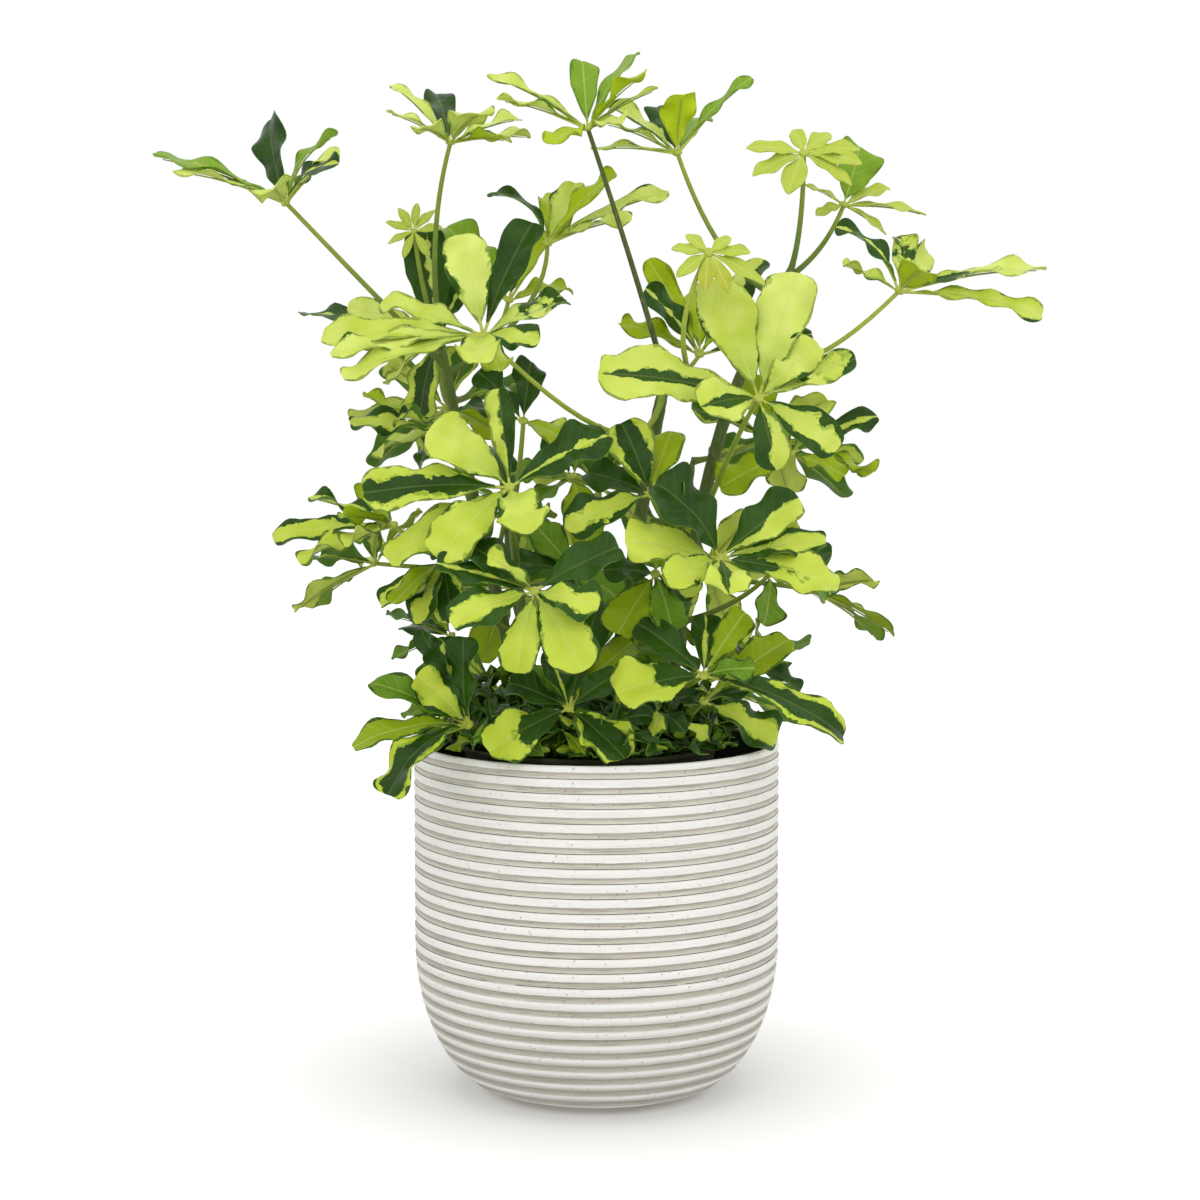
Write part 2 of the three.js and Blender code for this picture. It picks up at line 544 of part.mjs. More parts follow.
// A leaf as solids: its stalk, the ring of leaflets that lie clear of each other, and any others.
function compoundLeaf(line, leaf, seed) {
  const start = line.getPoint(leaf.from);
  const knob = seen(leaf.at);
  const bend = leaf.via
    ? seen(leaf.via).multiplyScalar(2).addScaledVector(start, -0.5).addScaledVector(knob, -0.5)
    : new THREE.Vector3((start.x + 2 * knob.x) / 3, (start.y + 2 * knob.y) / 3, (2 * start.z + knob.z) / 3);
  const facing = new THREE.Vector3(leaf.lean[0], -leaf.lean[1], 1).normalize();
  const east = new THREE.Vector3(1, 0, 0).addScaledVector(facing, -facing.x).normalize();
  const north = facing.clone().cross(east);
  const ring = [];
  const others = [];
  let longest = 0;
  leaf.leaflets.forEach(([across, up, back, width, arch = bladeArch], i) => {
    const tip = seen([leaf.at[0] + across, leaf.at[1] + up, leaf.at[2] + back]);
    const out = tip.clone().sub(knob);
    longest = Math.max(longest, out.length());
    const turn = Math.atan2(out.dot(north), out.dot(east));
    const sections = leafletSections(knob, tip, width, facing, arch, seed + 10 * i);
    const blade = looseLeaflet(sections, tip);
    const clear = ring.every((other) => {
      const between = Math.abs(turn - other.turn);
      return Math.min(between, 2 * Math.PI - between) > leastTurn && blade.intersect(other.blade).isEmpty();
    });
    (clear ? ring : others).push({ turn, sections, tip, blade });
  });
  ring.sort((one, two) => one.turn - two.turn);
  const radius = Math.min(knobRadius, knobShare * longest);
  const joined = others.map(({ sections, tip }) => {
    const out = tip.clone().sub(knob).normalize();
    const neck = sections[0].map((point) => {
      const middle = sections[0][0].clone().add(sections[0][1]).multiplyScalar(0.5);
      return point.clone().sub(middle).multiplyScalar(neckShrink).add(knob).addScaledVector(out, -neckSink);
    });
    return looseLeaflet([neck, ...sections], tip);
  });
  return [stalk(start, bend, knob), leafletRing(ring, knob, facing, radius, [east, north]), ...joined];
}

function shootSolid(shoot, number) {
  const { line, centres, radii } = stemRings(shoot);
  const pieces = [solidOf(tube(centres, radii, stemSides))];
  shoot.leaves.forEach((leaf, i) => pieces.push(...compoundLeaf(line, leaf, 1000 * number + 100 * i)));
  return wasm.Manifold.union(pieces);
}

const plant = new THREE.Group();

function add(name, geometry, material) {
  const mesh = new THREE.Mesh(geometry, material);
  mesh.name = name;
  plant.add(mesh);
}

add('cover_pot', coverPot(), materials.cover_pot);
add('grower_pot', growerPot(), materials.grower_pot);
add('potting_soil', pottingSoil(), materials.potting_soil);
Object.entries(shoots).forEach(([name, shoot], i) => {
  add(name, geometryOf(shootSolid(shoot, i + 1)), materials.shoot);
});

export default plant;
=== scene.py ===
# A variegated dwarf umbrella plant in a ribbed, whitewashed cover pot, built round its fixed CAD frame.
# The dictionaries hold millimetres and the meshes hold metres. The front is towards -Y.
import math
import random

import bpy
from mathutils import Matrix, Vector, noise


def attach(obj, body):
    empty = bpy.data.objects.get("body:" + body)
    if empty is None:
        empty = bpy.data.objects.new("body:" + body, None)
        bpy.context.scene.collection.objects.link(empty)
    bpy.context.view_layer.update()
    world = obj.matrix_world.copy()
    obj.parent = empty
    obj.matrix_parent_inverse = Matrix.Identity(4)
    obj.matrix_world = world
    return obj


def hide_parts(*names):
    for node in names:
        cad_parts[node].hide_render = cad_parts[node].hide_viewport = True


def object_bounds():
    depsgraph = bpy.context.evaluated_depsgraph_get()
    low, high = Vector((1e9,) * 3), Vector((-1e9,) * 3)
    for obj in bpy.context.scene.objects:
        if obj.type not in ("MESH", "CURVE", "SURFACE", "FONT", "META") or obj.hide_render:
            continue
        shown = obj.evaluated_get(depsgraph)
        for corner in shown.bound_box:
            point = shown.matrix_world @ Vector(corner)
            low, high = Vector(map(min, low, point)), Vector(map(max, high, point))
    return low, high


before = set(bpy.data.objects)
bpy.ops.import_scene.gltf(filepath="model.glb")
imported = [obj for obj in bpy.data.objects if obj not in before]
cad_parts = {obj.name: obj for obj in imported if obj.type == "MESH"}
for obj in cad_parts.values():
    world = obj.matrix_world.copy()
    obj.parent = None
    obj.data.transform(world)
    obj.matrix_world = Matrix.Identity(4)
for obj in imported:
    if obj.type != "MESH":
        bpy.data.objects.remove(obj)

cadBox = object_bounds()
mm = 0.001
noise.seed_set(4)  # without a seed, noise_vector takes its offsets from the clock


def atShare(ends, t):
    return ends[0] + (ends[1] - ends[0]) * t


def linear(hexColour):
    parts = [int(hexColour[i:i + 2], 16) / 255 for i in (1, 3, 5)]
    return tuple(p / 12.92 if p <= 0.04045 else ((p + 0.055) / 1.055) ** 2.4 for p in parts) + (1,)


def addNode(tree, kind, settings, output=0):
    # a setting is a property of the node, a socket's value or hex colour, or another node's output that feeds it
    node = tree.nodes.new("ShaderNode" + kind)
    for name, value in settings.items():
        if isinstance(value, bpy.types.NodeSocket):
            tree.links.new(value, node.inputs[name])
        elif isinstance(name, int) or name in node.inputs:
            node.inputs[name].default_value = linear(value) if isinstance(value, str) else value
        else:
            setattr(node, name, value)
    return node.outputs[output]


def newMaterial(name):
    material = bpy.data.materials.new(name)
    material.use_nodes = True
    return material, material.node_tree, material.node_tree.nodes["Principled BSDF"]


def finishMaterial(tree, shader, colour, roughness, height, depth):
    # the colour, the roughness and a relief whose full height is a depth in mm
    bump = addNode(tree, "Bump", {"Height": height, "Distance": depth * mm, "Strength": 1})
    tree.links.new(colour, shader.inputs["Base Color"])
    tree.links.new(roughness, shader.inputs["Roughness"])
    tree.links.new(bump, shader.inputs["Normal"])


def pickOnly(piece):
    bpy.ops.object.select_all(action="DESELECT")
    piece.select_set(True)
    bpy.context.view_layer.objects.active = piece


def namePiece(name):
    piece = bpy.context.object
    piece.name = name
    piece.data.name = name
    return piece


def editAll():
    bpy.ops.object.mode_set(mode="EDIT")
    bpy.ops.mesh.select_all(action="SELECT")


def applyModifiers(piece):
    pickOnly(piece)
    for modifier in list(piece.modifiers):
        bpy.ops.object.modifier_apply(modifier=modifier.name)


def copyPiece(model, name):
    piece = bpy.data.objects.new(name, model.data.copy())
    bpy.context.collection.objects.link(piece)
    return piece


def joinPieces(pieces, name):
    pickOnly(pieces[0])
    for piece in pieces[1:]:
        piece.select_set(True)
    bpy.ops.object.join()
    return namePiece(name)


def turnProfile(name, profile, sides):
    # one point is drawn out along the profile, then spun round the upright axis
    bpy.ops.object.select_all(action="DESELECT")
    bpy.ops.mesh.primitive_plane_add(size=mm, location=(profile[0][0] * mm, 0, profile[0][1] * mm))
    bpy.ops.object.transform_apply(location=True)
    bpy.ops.object.mode_set(mode="EDIT")
    bpy.ops.mesh.merge(type="CENTER")
    for here, ahead in zip(profile, profile[1:]):
        step = ((ahead[0] - here[0]) * mm, 0, (ahead[1] - here[1]) * mm)
        bpy.ops.mesh.extrude_region_move(TRANSFORM_OT_translate={"value": step})
    bpy.ops.mesh.select_all(action="SELECT")
    bpy.ops.mesh.spin(steps=sides, angle=2 * math.pi, center=(0, 0, 0), axis=(0, 0, 1))
    bpy.ops.mesh.select_all(action="SELECT")
    bpy.ops.mesh.remove_doubles(threshold=0.01 * mm)
    bpy.ops.mesh.normals_make_consistent(inside=False)
    bpy.ops.object.mode_set(mode="OBJECT")
    return namePiece(name)


# Camera: 1.5 m in front, a little above the pot's rim and looking slightly down
view = dict(eye=(2, -1518, 420), pitch=5.09, lens=79.2, sensor=36)

bpy.ops.object.select_all(action="DESELECT")
bpy.ops.object.camera_add(location=[c * mm for c in view["eye"]],
                          rotation=(math.radians(90 - view["pitch"]), 0, 0))
camera = namePiece("studio_camera")
camera.data.lens = view["lens"]
camera.data.sensor_width = view["sensor"]
bpy.context.scene.camera = camera
bpy.context.scene.view_settings.view_transform = "Standard"

# Light: a white studio room with bright walls and ceiling, and a large soft box over the plant's front
studio = dict(brightSide=(0.05, -0.34, 0.94), dimFrom=-0.7, brightFrom=0.2, dimmest=0.48, brightest=1.1,
              boxPlace=(90, -1050, 1250), boxAim=(0, 0, 420), boxSize=1900, boxPower=5,
              floorSize=9000, floorColour="#f0f0ef", floorGlow=(0.02, 0.2), glowFrom=80, glowTo=220)

bpy.ops.object.select_all(action="DESELECT")
boxPlace = Vector(studio["boxPlace"])
boxTurn = (boxPlace - Vector(studio["boxAim"])).to_track_quat("Z", "Y").to_euler()
bpy.ops.object.light_add(type="AREA", location=boxPlace * mm, rotation=boxTurn)
softBox = namePiece("soft_box")
softBox.data.size = studio["boxSize"] * mm
softBox.data.energy = studio["boxPower"]

world = bpy.data.worlds.new("white_studio")
world.use_nodes = True
bpy.context.scene.world = world
sky = world.node_tree
room = sky.nodes["Background"]
room.inputs["Color"].default_value = linear("#ffffff")
towards = addNode(sky, "TexCoord", {}, "Generated")
facingLight = addNode(sky, "VectorMath", {"operation": "DOT_PRODUCT", 0: towards, 1: studio["brightSide"]}, 1)
roomLight = addNode(sky, "MapRange", {"Value": facingLight, "From Min": studio["dimFrom"],
                                      "From Max": studio["brightFrom"], "To Min": studio["dimmest"],
                                      "To Max": studio["brightest"]})
# the backdrop itself shows clean white
shown = addNode(sky, "LightPath", {}, "Is Camera Ray")
roomShown = addNode(sky, "Mix", {"Factor": shown, 2: roomLight, 3: 1.0})
sky.links.new(roomShown, room.inputs["Strength"])

bpy.ops.object.select_all(action="DESELECT")
bpy.ops.mesh.primitive_plane_add(size=studio["floorSize"] * mm)
floor = namePiece("studio_floor")
floor.visible_diffuse = False  # the bright floor doesn't light the pot from below
# Matt background paper with a painted glow that makes it evenly white away from the pot; the glow fades towards the
# foot, so it only shows the soft shadow round the foot
paper, paperTree, paperShader = newMaterial("matt white background paper")
for name, value in (("Base Color", linear(studio["floorColour"])), ("Emission Color", linear("#ffffff")),
                    ("Roughness", 0.9), ("Specular IOR Level", 0.1)):
    paperShader.inputs[name].default_value = value
onFloor = addNode(paperTree, "TexCoord", {}, "Object")
fromPot = addNode(paperTree, "VectorMath", {"operation": "LENGTH", 0: onFloor}, 1)
floorGlow = addNode(paperTree, "MapRange", {"Value": fromPot, "From Min": studio["glowFrom"] * mm,
                                            "From Max": studio["glowTo"] * mm, "To Min": studio["floorGlow"][0],
                                            "To Max": studio["floorGlow"][1]})
paperTree.links.new(floorGlow, paperShader.inputs["Emission Strength"])
floor.data.materials.append(paper)
print("camera, light and floor are ready")


# Cover pot: crests with narrow grooves between them, straight above and rounded into the foot
coverPot = dict(radius=106, foot=54, shoulder=88, sides=72, grooves=24, pitch=8.24, topGroove=199.8,
                # each step of a groove: height above the lower edge of its crest, and depth
                groove=[(0.8, 0.0), (0.1, 0.1), (-0.45, 0.95), (-1.7, 0.9), (-2.9, 0.45), (-3.3, 0.0), (-4.6, -0.06)],
                rim=[(106, 202.2), (105.7, 203.6), (104.6, 204), (102.8, 204), (101.5, 203.6), (101, 202)],
                hollow=[(101, 150), (101, 92), (96.5, 60), (88, 36), (76, 17), (61, 8), (20, 8), (0, 8)],
                # name, size and depth of the unevenness, and the share of it that goes inwards, so that the pot
                # stays its size
                uneven=[("sway", 70, 0.6), ("dents", 9, 0.32)], inwards=0.75,
                # the dark inside starts above the foot and ends below the rim; edges under the angle are smooth
                insideFrom=7, insideTo=202, smooth=50)


def wallAt(height):
    # the radius of the outside at a height, and how fast it widens there
    rise = min(height / coverPot["shoulder"], 1)
    widening = coverPot["radius"] - coverPot["foot"]
    bow = math.sqrt(1 - (1 - rise) ** 2)
    return coverPot["foot"] + widening * bow, widening * (1 - rise) / (coverPot["shoulder"] * bow)


profile = [(0, 0), (30, 0), (coverPot["foot"] - 1, 0), (coverPot["foot"] + 0.6, 0.1)]
for k in reversed(range(coverPot["grooves"])):
    edge = coverPot["topGroove"] - k * coverPot["pitch"]
    for above, depth in reversed(coverPot["groove"]):
        radius, slope = wallAt(edge + above)
        lean = math.hypot(1, slope)
        profile.append((radius - depth / lean, edge + above + depth * slope / lean))
pot = turnProfile("pot_body", profile + coverPot["rim"] + coverPot["hollow"], coverPot["sides"])
rounding = pot.modifiers.new("rounding", "SUBSURF")
rounding.levels = rounding.render_levels = 1
for name, size, amount in coverPot["uneven"]:
    lumps = bpy.data.textures.new(name, "CLOUDS")
    lumps.noise_scale = size * mm
    press = pot.modifiers.new(name, "DISPLACE")
    press.texture = lumps
    press.texture_coords = "GLOBAL"
    press.strength = amount * mm
    press.mid_level = coverPot["inwards"]
applyModifiers(pot)
bpy.ops.object.shade_smooth_by_angle(angle=math.radians(coverPot["smooth"]))

# Fibre clay, turned and brushed with thin whitewash: chalky crests, beige grooves with pits and brush lines
clay, clayTree, clayShader = newMaterial("whitewashed turned fibre clay")
place = addNode(clayTree, "TexCoord", {}, "Object")
height = addNode(clayTree, "SeparateXYZ", {0: place}, 2)
wander, blotch, grit = [addNode(clayTree, "TexNoise", {"Vector": place, "Scale": 1 / (size * mm), "Detail": detail})
                        for size, detail in ((11, 5), (45, 5), (1.6, 4))]
pits = addNode(clayTree, "TexVoronoi", {"Vector": place, "Scale": 1 / (4.5 * mm)}, "Distance")
# brush lines, 40 mm long and 1.4 mm apart
streak = addNode(clayTree, "Mapping", {"Vector": place, "Scale": (25, 25, 700)})
brushed = addNode(clayTree, "TexNoise", {"Vector": streak, "Scale": 1, "Detail": 4, "Roughness": 0.7})
# how far below the nearest crest's lower edge a point is, as a share of the pitch
below = addNode(clayTree, "MapRange", {"Value": height, "From Min": coverPot["topGroove"] * mm,
                                       "From Max": (coverPot["topGroove"] - coverPot["pitch"]) * mm, "clamp": False})
strayed = addNode(clayTree, "Math", {"operation": "MULTIPLY_ADD", 0: wander, 1: 0.13, 2: below})
share = addNode(clayTree, "Math", {"operation": "FRACT", 0: strayed})
# how far below or above the ledge where a groove meets the next crest
fromLedge = addNode(clayTree, "Math", {"operation": "SUBTRACT", 0: share, 1: 0.45})
offLedge = addNode(clayTree, "Math", {"operation": "ABSOLUTE", 0: fromLedge})
# where each finish lies: what it follows, where it is nought, where it is full, and how strong it is there
clayMasks = dict(groove=(share, 0.55, 0.38, 1), underCrest=(share, 0.36, 0.04, 0.5), upperEdge=(share, 0.55, 0.46, 1),
                 lowerHalf=(share, 0.66, 0.9, 1), ledge=(offLedge, 0.055, 0.015, 1), shadeBreaks=(wander, 0.4, 0.6, 0.4),
                 nearFoot=(height, 0.15, 0.05, 0.45), rolling=(height, 0.1, 0.03, 0.85),
                 lines=(brushed, 0.36, 0.6, 1), streaks=(brushed, 0.5, 0.62, 0.55),
                 pits=(pits, 0.13, 0.07, 1), worn=(grit, 0.62, 0.74, 0.5))
for name, (follows, nought, full, most) in clayMasks.items():
    clayMasks[name] = addNode(clayTree, "MapRange", {"Value": follows, "From Min": nought, "From Max": full,
                                                     "To Max": most})
onCrest = addNode(clayTree, "Math", {"operation": "SUBTRACT", 0: 1, 1: clayMasks["groove"]})
# painted highlight: a whiter band along the upper edge of each crest
highlightEdge = addNode(clayTree, "Math", {"operation": "MULTIPLY", 0: clayMasks["upperEdge"], 1: onCrest})
# painted shade: near the foot the lower, downward-facing half of each crest takes the grooves' darker colour
rolled = addNode(clayTree, "Math", {"operation": "MULTIPLY", 0: clayMasks["lowerHalf"], 1: clayMasks["rolling"]})
# painted shade: a thin brown line in the crease where each groove meets the next crest, broken in places by noise
ledgeShade = addNode(clayTree, "Math", {"operation": "MULTIPLY", 0: clayMasks["ledge"], 1: clayMasks["shadeBreaks"]})
marks = addNode(clayTree, "Math", {"operation": "MAXIMUM", 0: clayMasks["pits"], 1: clayMasks["worn"]})
faint = addNode(clayTree, "Math", {"operation": "MULTIPLY", 0: marks, 1: 0.45})
uneven = addNode(clayTree, "Mix", {"Factor": 0.6, 2: blotch, 3: clayMasks["lines"]})
# bare clay in the grooves, with painted shade below each crest and painted shade darkening them towards the foot
shadedGroove = addNode(clayTree, "Mix", {"data_type": "RGBA", "Factor": brushed, 6: "#c2bcae", 7: "#ebe7dd"}, 2)
for cover, coat in ((clayMasks["underCrest"], "#a59d8d"), (clayMasks["nearFoot"], "#8f897b")):
    shadedGroove = addNode(clayTree, "Mix", {"data_type": "RGBA", "Factor": cover, 6: shadedGroove, 7: coat}, 2)
streaked = addNode(clayTree, "Mix", {"data_type": "RGBA", "Factor": clayMasks["streaks"], 6: shadedGroove, 7: "#8a8474"}, 2)
# uneven whitewash, with a painted highlight along each crest's upper edge. Towards the foot each crest rolls under,
# and its lower half takes the grooves' beige as painted shade. The grooves cut through it, with a thin brown line of
# painted shade, broken in places, where they meet the next crest.
clayColour = addNode(clayTree, "Mix", {"data_type": "RGBA", "Factor": uneven, 6: "#e6e4dd", 7: "#f6f4ef"}, 2)
for cover, coat in ((highlightEdge, "#fbf9f5"), (rolled, shadedGroove), (clayMasks["groove"], streaked),
                    (ledgeShade, "#7d705c"), (faint, "#a39b88")):
    clayColour = addNode(clayTree, "Mix", {"data_type": "RGBA", "Factor": cover, 6: clayColour, 7: coat}, 2)
chalky = addNode(clayTree, "MapRange", {"Value": grit, "To Min": 0.78, "To Max": 0.92})
rough = addNode(clayTree, "Math", {"operation": "MULTIPLY_ADD", 0: brushed, 1: 0.6, 2: grit})
relief = addNode(clayTree, "Math", {"operation": "SUBTRACT", 0: rough, 1: marks})
finishMaterial(clayTree, clayShader, clayColour, chalky, relief, 0.35)
clayShader.inputs["Specular IOR Level"].default_value = 0.25

# Bare fibre clay inside, its grey darkened to near black as painted shade inside the pot
shadedInside, shadedInsideTree, shadedInsideShader = newMaterial("unglazed fibre clay with painted shade")
place = addNode(shadedInsideTree, "TexCoord", {}, "Object")
cloud, grit = [addNode(shadedInsideTree, "TexNoise", {"Vector": place, "Scale": 1 / (size * mm), "Detail": detail})
               for size, detail in ((30, 6), (1.5, 4))]
height = addNode(shadedInsideTree, "SeparateXYZ", {0: place}, 2)
overRim = addNode(shadedInsideTree, "MapRange", {"Value": height, "From Min": 0.2, "From Max": 0.2035})
# painted shade: near-black greys for the shadow inside the pot
darkClay = addNode(shadedInsideTree, "Mix", {"data_type": "RGBA", "Factor": cloud, 6: "#1d1d1a", 7: "#4b4a43"}, 2)
shadedInsideColour = addNode(shadedInsideTree, "Mix", {"data_type": "RGBA", "Factor": overRim, 6: darkClay, 7: "#e6e3db"}, 2)
damp = addNode(shadedInsideTree, "MapRange", {"Value": cloud, "To Min": 0.65, "To Max": 0.9})
finishMaterial(shadedInsideTree, shadedInsideShader, shadedInsideColour, damp, grit, 0.3)

pot.data.materials.append(clay)
pot.data.materials.append(shadedInside)
for face in pot.data.polygons:
    isFloor = face.center.z > coverPot["insideFrom"] * mm and face.normal.z > 0.5
    isInside = face.normal.xy.dot(face.center.xy) < 0 or isFloor
    face.material_index = 1 if isInside and face.center.z <= coverPot["insideTo"] * mm else 0
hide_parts("cover_pot")
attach(pot, "root")
print("cover pot is turned and whitewashed")


# Grower pot: a thin cup with a turned-out lip and drain holes, a little left of the cover pot's axis
growerPot = dict(centre=-4, foot=8.3, footRadius=55, top=203, topRadius=73, wall=1.5, lip=2.5, lipHeight=3,
                 sides=96, holes=6, holeRadius=4, holeCircle=36, holeSides=24,
                 drill=8, smooth=40)


def growerAt(height):
    # the outside radius of the cup at a height
    share = (height - growerPot["foot"]) / (growerPot["top"] - growerPot["foot"])
    return atShare((growerPot["footRadius"], growerPot["topRadius"]), share)


under = growerPot["top"] - growerPot["lipHeight"]
lipEdge = growerPot["topRadius"] + growerPot["lip"]
foot = growerPot["foot"]
inner = foot + growerPot["wall"]
profile = [(0, foot), (30, foot), (growerPot["footRadius"] - 0.8, foot), (growerPot["footRadius"], foot + 0.8),
           (growerAt(60), 60), (growerAt(120), 120), (growerAt(under - 12), under - 12),
           (growerAt(under - 0.4), under - 0.4), (growerAt(under) + 0.5, under), (lipEdge - 0.3, under),
           (lipEdge, under + 0.4), (lipEdge, under + 2.4), (lipEdge - 0.5, growerPot["top"] - 0.05),
           (lipEdge - 1.4, growerPot["top"]), (growerPot["topRadius"] - 0.6, growerPot["top"] - 0.1),
           (growerPot["topRadius"] - 1.4, growerPot["top"] - 0.8)]
profile += [(growerAt(height) - growerPot["wall"], height) for height in (185, 100, inner)]
profile += [(20, inner), (0, inner)]
grower = turnProfile("grower_cup", profile, growerPot["sides"])
drills = []
for k in range(growerPot["holes"]):
    turn = 2 * math.pi * k / growerPot["holes"]
    bpy.ops.object.select_all(action="DESELECT")
    spot = Vector((growerPot["holeCircle"] * math.cos(turn), growerPot["holeCircle"] * math.sin(turn), foot)) * mm
    bpy.ops.mesh.primitive_cylinder_add(vertices=growerPot["holeSides"], radius=growerPot["holeRadius"] * mm,
                                        depth=growerPot["drill"] * mm, location=spot)
    bpy.ops.object.transform_apply(location=True)
    drills.append(bpy.context.object)
drill = joinPieces(drills, "drill")
cut = grower.modifiers.new("drain holes", "BOOLEAN")
cut.operation = "DIFFERENCE"
cut.object = drill
applyModifiers(grower)
bpy.data.objects.remove(drill)
editAll()
bpy.ops.transform.translate(value=(growerPot["centre"] * mm, 0, 0))
bpy.ops.object.mode_set(mode="OBJECT")
bpy.ops.object.shade_smooth_by_angle(angle=math.radians(growerPot["smooth"]))

# Thin moulded polypropylene: satin near-black with fine scratches, and olive growth and dust on the lip
plastic, plasticTree, plasticShader = newMaterial("moulded polypropylene")
place = addNode(plasticTree, "TexCoord", {}, "Object")
height = addNode(plasticTree, "SeparateXYZ", {0: place}, 2)
patchy, fine = [addNode(plasticTree, "TexNoise", {"Vector": place, "Scale": 1 / (size * mm), "Detail": detail})
                for size, detail in ((8, 5), (0.8, 3))]
upper = addNode(plasticTree, "MapRange", {"Value": height, "From Min": 0.192, "From Max": 0.203})
dirty = addNode(plasticTree, "Math", {"operation": "MULTIPLY", 0: upper, 1: patchy})
plasticColour = addNode(plasticTree, "Mix", {"data_type": "RGBA", "Factor": dirty, 6: "#262722", 7: "#6d7049"}, 2)
satin = addNode(plasticTree, "MapRange", {"Value": patchy, "To Min": 0.38, "To Max": 0.62})
finishMaterial(plasticTree, plasticShader, plasticColour, satin, fine, 0.06)
grower.data.materials.append(plastic)
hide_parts("grower_pot")
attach(grower, "root")
print("grower pot is turned and drilled")


# Soil: a plug that fills the grower pot, with a rough top and crumbs on it
soilPlug = dict(top=188, rise=4, rough=2.2, gap=0.3, sides=96, rings=26, smooth=30,
                # the clods' heights and sizes, and how far the top is sunk below them
                clods=((1.6, 7), (0.9, 2.6)), sunk=0.5,
                # crumbs: how many, what is added to the least size, their form, how uneven, and how far out
                crumbs=420, crumbSize=(1.1, 3.4), least=0.7, crumbForm=(1.3, 1, 0.75), jitter=0.35, reach=0.96,
                seed=11)

random.seed(soilPlug["seed"])


def soilHeight(share, turn):
    # the same low swells as the CAD solid
    swells = math.sin(3 * turn + 9 * share) + math.sin(5 * turn - 14 * share + 1)
    return soilPlug["top"] + soilPlug["rise"] * (1 - share * share) + soilPlug["rough"] * share * swells / 2


soilBottom = inner + soilPlug["gap"]
wallAndGap = growerPot["wall"] + soilPlug["gap"]
soilEdge = growerAt(soilPlug["top"]) - wallAndGap
profile = [(0, soilBottom), (30, soilBottom), (growerAt(soilBottom) - wallAndGap, soilBottom),
           (growerAt(100) - wallAndGap, 100), (soilEdge - 0.3, soilPlug["top"] - 3)]
profile += [(soilEdge * k / soilPlug["rings"], soilPlug["top"]) for k in reversed(range(soilPlug["rings"] + 1))]
soil = turnProfile("soil_plug", profile, soilPlug["sides"])
for vertex in soil.data.vertices:
    if vertex.co.z > (soilPlug["top"] - 1) * mm:
        x, y = vertex.co.xy / mm
        share = math.hypot(x, y) / soilEdge
        spot = Vector((x, y, 0))
        lumpy = sum(high * noise.noise(spot / size) for high, size in soilPlug["clods"])
        level = soilHeight(share, math.atan2(y, x)) - soilPlug["sunk"]
        vertex.co.z = (level + lumpy * min(1, 6 * (1 - share))) * mm  # it lies flat against the grower pot
    vertex.co.x += growerPot["centre"] * mm

bpy.ops.object.select_all(action="DESELECT")
bpy.ops.mesh.primitive_ico_sphere_add(subdivisions=1, radius=mm)
editAll()
bpy.ops.transform.vertex_random(offset=soilPlug["jitter"] * mm, seed=3)
bpy.ops.transform.resize(value=soilPlug["crumbForm"])
bpy.ops.object.mode_set(mode="OBJECT")
crumbModel = namePiece("crumb_model")
crumbs = []
for k in range(soilPlug["crumbs"]):
    share = math.sqrt(random.random()) * soilPlug["reach"]
    turn = random.uniform(0, 2 * math.pi)
    size = random.uniform(*soilPlug["crumbSize"]) * random.random() + soilPlug["least"]
    crumb = copyPiece(crumbModel, "crumb")
    twist = Vector([random.gauss(0, 1) for axis in range(3)]).to_track_quat("Z", "Y")
    spot = Vector((share * soilEdge * math.cos(turn) + growerPot["centre"], share * soilEdge * math.sin(turn),
                   soilHeight(share, turn) + 0.1 * size)) * mm
    for vertex in crumb.data.vertices:
        vertex.co = spot + twist @ (vertex.co * size)
    crumbs.append(crumb)
bpy.data.objects.remove(crumbModel)
soil = joinPieces([soil] + crumbs, "soil_plug")
bpy.ops.object.shade_smooth_by_angle(angle=math.radians(soilPlug["smooth"]))

# Moist peat: crumbly, nearly black, with olive moss in patches and brown fibres
peat, peatTree, peatShader = newMaterial("moist sieved peat")
place = addNode(peatTree, "TexCoord", {}, "Object")
clods, mossy = [addNode(peatTree, "TexNoise", {"Vector": place, "Scale": 1 / (size * mm), "Detail": detail})
                for size, detail in ((3, 6), (22, 4))]
cells = addNode(peatTree, "TexVoronoi", {"Vector": place, "Scale": 1 / (2.4 * mm)}, "Color")
specks = addNode(peatTree, "SeparateColor", {0: cells})
moss = addNode(peatTree, "MapRange", {"Value": mossy, "From Min": 0.52, "From Max": 0.6, "To Max": 0.75})
chips = addNode(peatTree, "MapRange", {"Value": specks, "From Min": 0.9, "From Max": 0.93, "To Max": 0.6})
peatColour = addNode(peatTree, "Mix", {"data_type": "RGBA", "Factor": clods, 6: "#0f0c08", 7: "#4a3826"}, 2)
for cover, coat in ((moss, "#3d4219"), (chips, "#7a6547")):
    peatColour = addNode(peatTree, "Mix", {"data_type": "RGBA", "Factor": cover, 6: peatColour, 7: coat}, 2)
moist = addNode(peatTree, "MapRange", {"Value": clods, "To Min": 0.7, "To Max": 1.0})
finishMaterial(peatTree, peatShader, peatColour, moist, clods, 1.2)
soil.data.materials.append(peat)
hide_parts("potting_soil")
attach(soil, "root")
print("soil is filled in")


